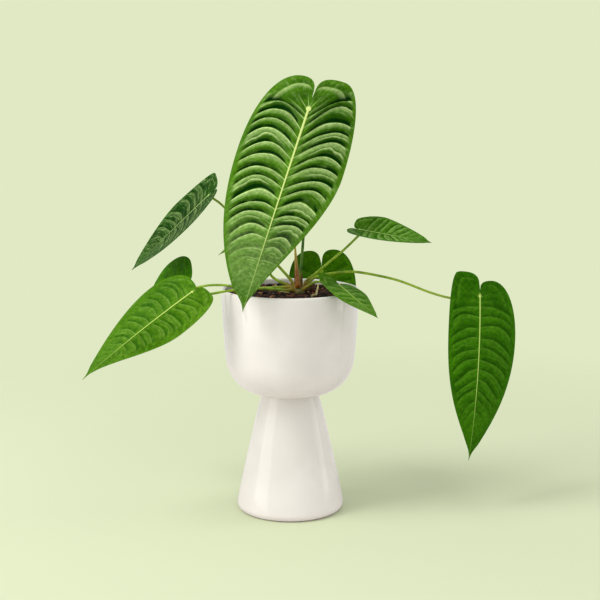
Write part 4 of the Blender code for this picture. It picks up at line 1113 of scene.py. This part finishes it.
def makeSheath(number, root, material):
    # a dry, curled scale with a torn tip
    s = sheathBuild
    start, out = crownSeat(*root)
    acrossWay = unit(np.cross((0.0, 0.0, 1.0), out))
    piece, grid = addSheet(s["sides"], s["rings"])
    t, u = (grid[:, 1] + 1) / 2, grid[:, 0]
    width = s["width"] * (1 - t) ** 0.6 + 0.0004
    torn = 1 - s["torn"] * np.abs(np.sin(9 * u + 3 * number)) * ease(t, 0.4, 1.0)
    wave = s["wave"] * np.sin(7 * t + 3 * u + 2 * number) * t
    cup = s["cup"] * width * u ** 2 + wave
    points = (start + np.outer(s["stand"] * (np.sin(t * math.pi / 2) - 0.2), out)
              + np.outer(s["length"] * t * torn, (0.0, 0.0, 1.0))
              + np.outer(u * width / 2, acrossWay) + np.outer(cup, out))
    writePoints(piece, points)
    cleanUp(piece)
    applyModifier(piece, "SOLIDIFY", thickness=s["thickness"], offset=0.0)
    return hangOn(piece, f"sheath_dry_{number}", "sheath", [material], f"dried_sheath_{number}", 50)


def makeRoot(number, root, material):
    # it follows the soil, thins out and is never quite even
    s = rootShape
    path = smoothPath([(x, y, 0.0) for x, y in root["way"]], s["step"])
    path[:, 2] = [soilHeight(x, y) + root["radius"] + s["lift"] for x, y in path[:, :2]]
    steps = np.linspace(0.0, 1.0, len(path))
    radii = root["radius"] * (1 - s["taper"] * steps ** 2)
    radii = radii * (1 + s["uneven"] * np.sin(37 * steps + number))
    piece = makeRod(path, radii, 3)
    return hangOn(piece, f"root_pale_{number}", "root", [material], f"root_{number}")


makeCrown(makePlainFinish("crownSkin", **crownBuild["skin"]))
makeShoot()
driedFinish = makePlainFinish("driedSheath", **sheathBuild["skin"])
for number, root in sheathBuild["roots"].items():
    makeSheath(number, root, driedFinish)
rootFinish = makePlainFinish("paleRoot", **rootSkin)
for number, root in rootBuild.items():
    makeRoot(number, root, rootFinish)
print("crown, shoot, sheaths and roots added")


# studio: a pale floor that fades into an even pale background, and soft light

studio = {
    "background": (225, 233, 196), "floor": (208, 216, 182), "bounce": (222, 216, 212),
    "floorRadius": 3.0, "fade": (0.55, 1.25), "fill": (0.77, 0.77, 0.77),
    "lightColour": (1.0, 1.0, 0.98),
    "cameraPlace": (0.013, -1.653, 0.552), "cameraTilt": 80.7, "lens": 76.56,
}
lights = {  # each aims at a height on the planter's axis
    "leftSoftbox": dict(place=(-3.75, -1.45, 1.10), aim=1.10, size=(2.6, 4.2), power=59.0,
                        colour=(1.0, 0.985, 0.96)),
    "topSoftbox": dict(place=(-1.90, -0.90, 2.90), aim=0.30, size=(1.4, 1.4), power=54.0),
    "rightSoftbox": dict(place=(4.00, 0.20, 0.90), aim=0.90, size=(1.2, 3.0), power=15.0),
    "frontSoftbox": dict(place=(0.90, -2.60, 2.60), aim=0.30, size=(1.6, 1.6), power=9.0),
}


def makeFloor():
    # pale paper under the pot that fades into the background
    s = studio
    deselectAll()
    bpy.ops.mesh.primitive_circle_add(vertices=96, radius=s["floorRadius"], fill_type="NGON")
    floor = bpy.context.object
    floor.name = "studio_floor"
    material, bench, shader = startMaterial("floorPaper")
    away = bench.node("VectorMath", {0: bench.place()}, operation="LENGTH")
    seen = bench.node("LightPath").outputs["Is Camera Ray"]
    bench.feed(bench.mixed(seen, toLinear(s["bounce"]), toLinear(s["floor"])),
               shader.inputs["Base Color"])
    bench.feed(bench.ranged(away.outputs["Value"], *s["fade"], 1.0, 0.0), shader.inputs["Alpha"])
    shader.inputs["Roughness"].default_value = 0.9
    shader.inputs["Specular IOR Level"].default_value = 0.0
    floor.data.materials.append(material)


def makeWorld():
    # the camera sees an even pale green, the pieces are lit by neutral air
    world = bpy.data.worlds.new("studioAir")
    bpy.context.scene.world = world
    world.use_nodes = True
    bench = Bench(world.node_tree)
    seen = bench.node("LightPath").outputs["Is Camera Ray"]
    colour = bench.mixed(seen, (*studio["fill"], 1.0), toLinear(studio["background"]))
    bench.feed(colour, world.node_tree.nodes["Background"].inputs["Color"])


def addLight(name, values):
    deselectAll()
    bpy.ops.object.light_add(type="AREA", location=values["place"])
    lamp = bpy.context.object
    lamp.name = name
    lamp.data.shape = "RECTANGLE"
    lamp.data.size, lamp.data.size_y = values["size"]
    lamp.data.energy = values["power"]
    lamp.data.color = values.get("colour", studio["lightColour"])
    towards = Vector((0.0, 0.0, values["aim"])) - Vector(values["place"])
    lamp.rotation_euler = towards.to_track_quat("-Z", "Y").to_euler()


def addCamera():
    deselectAll()
    bpy.ops.object.camera_add(location=studio["cameraPlace"],
                              rotation=(math.radians(studio["cameraTilt"]), 0.0, 0.0))
    camera = bpy.context.object
    camera.data.lens = studio["lens"]
    camera.data.sensor_width = 36.0
    bpy.context.scene.camera = camera


makeFloor()
makeWorld()
for name, values in lights.items():
    addLight(name, values)
addCamera()
bpy.context.scene.view_settings.view_transform = "Standard"
print("studio set")
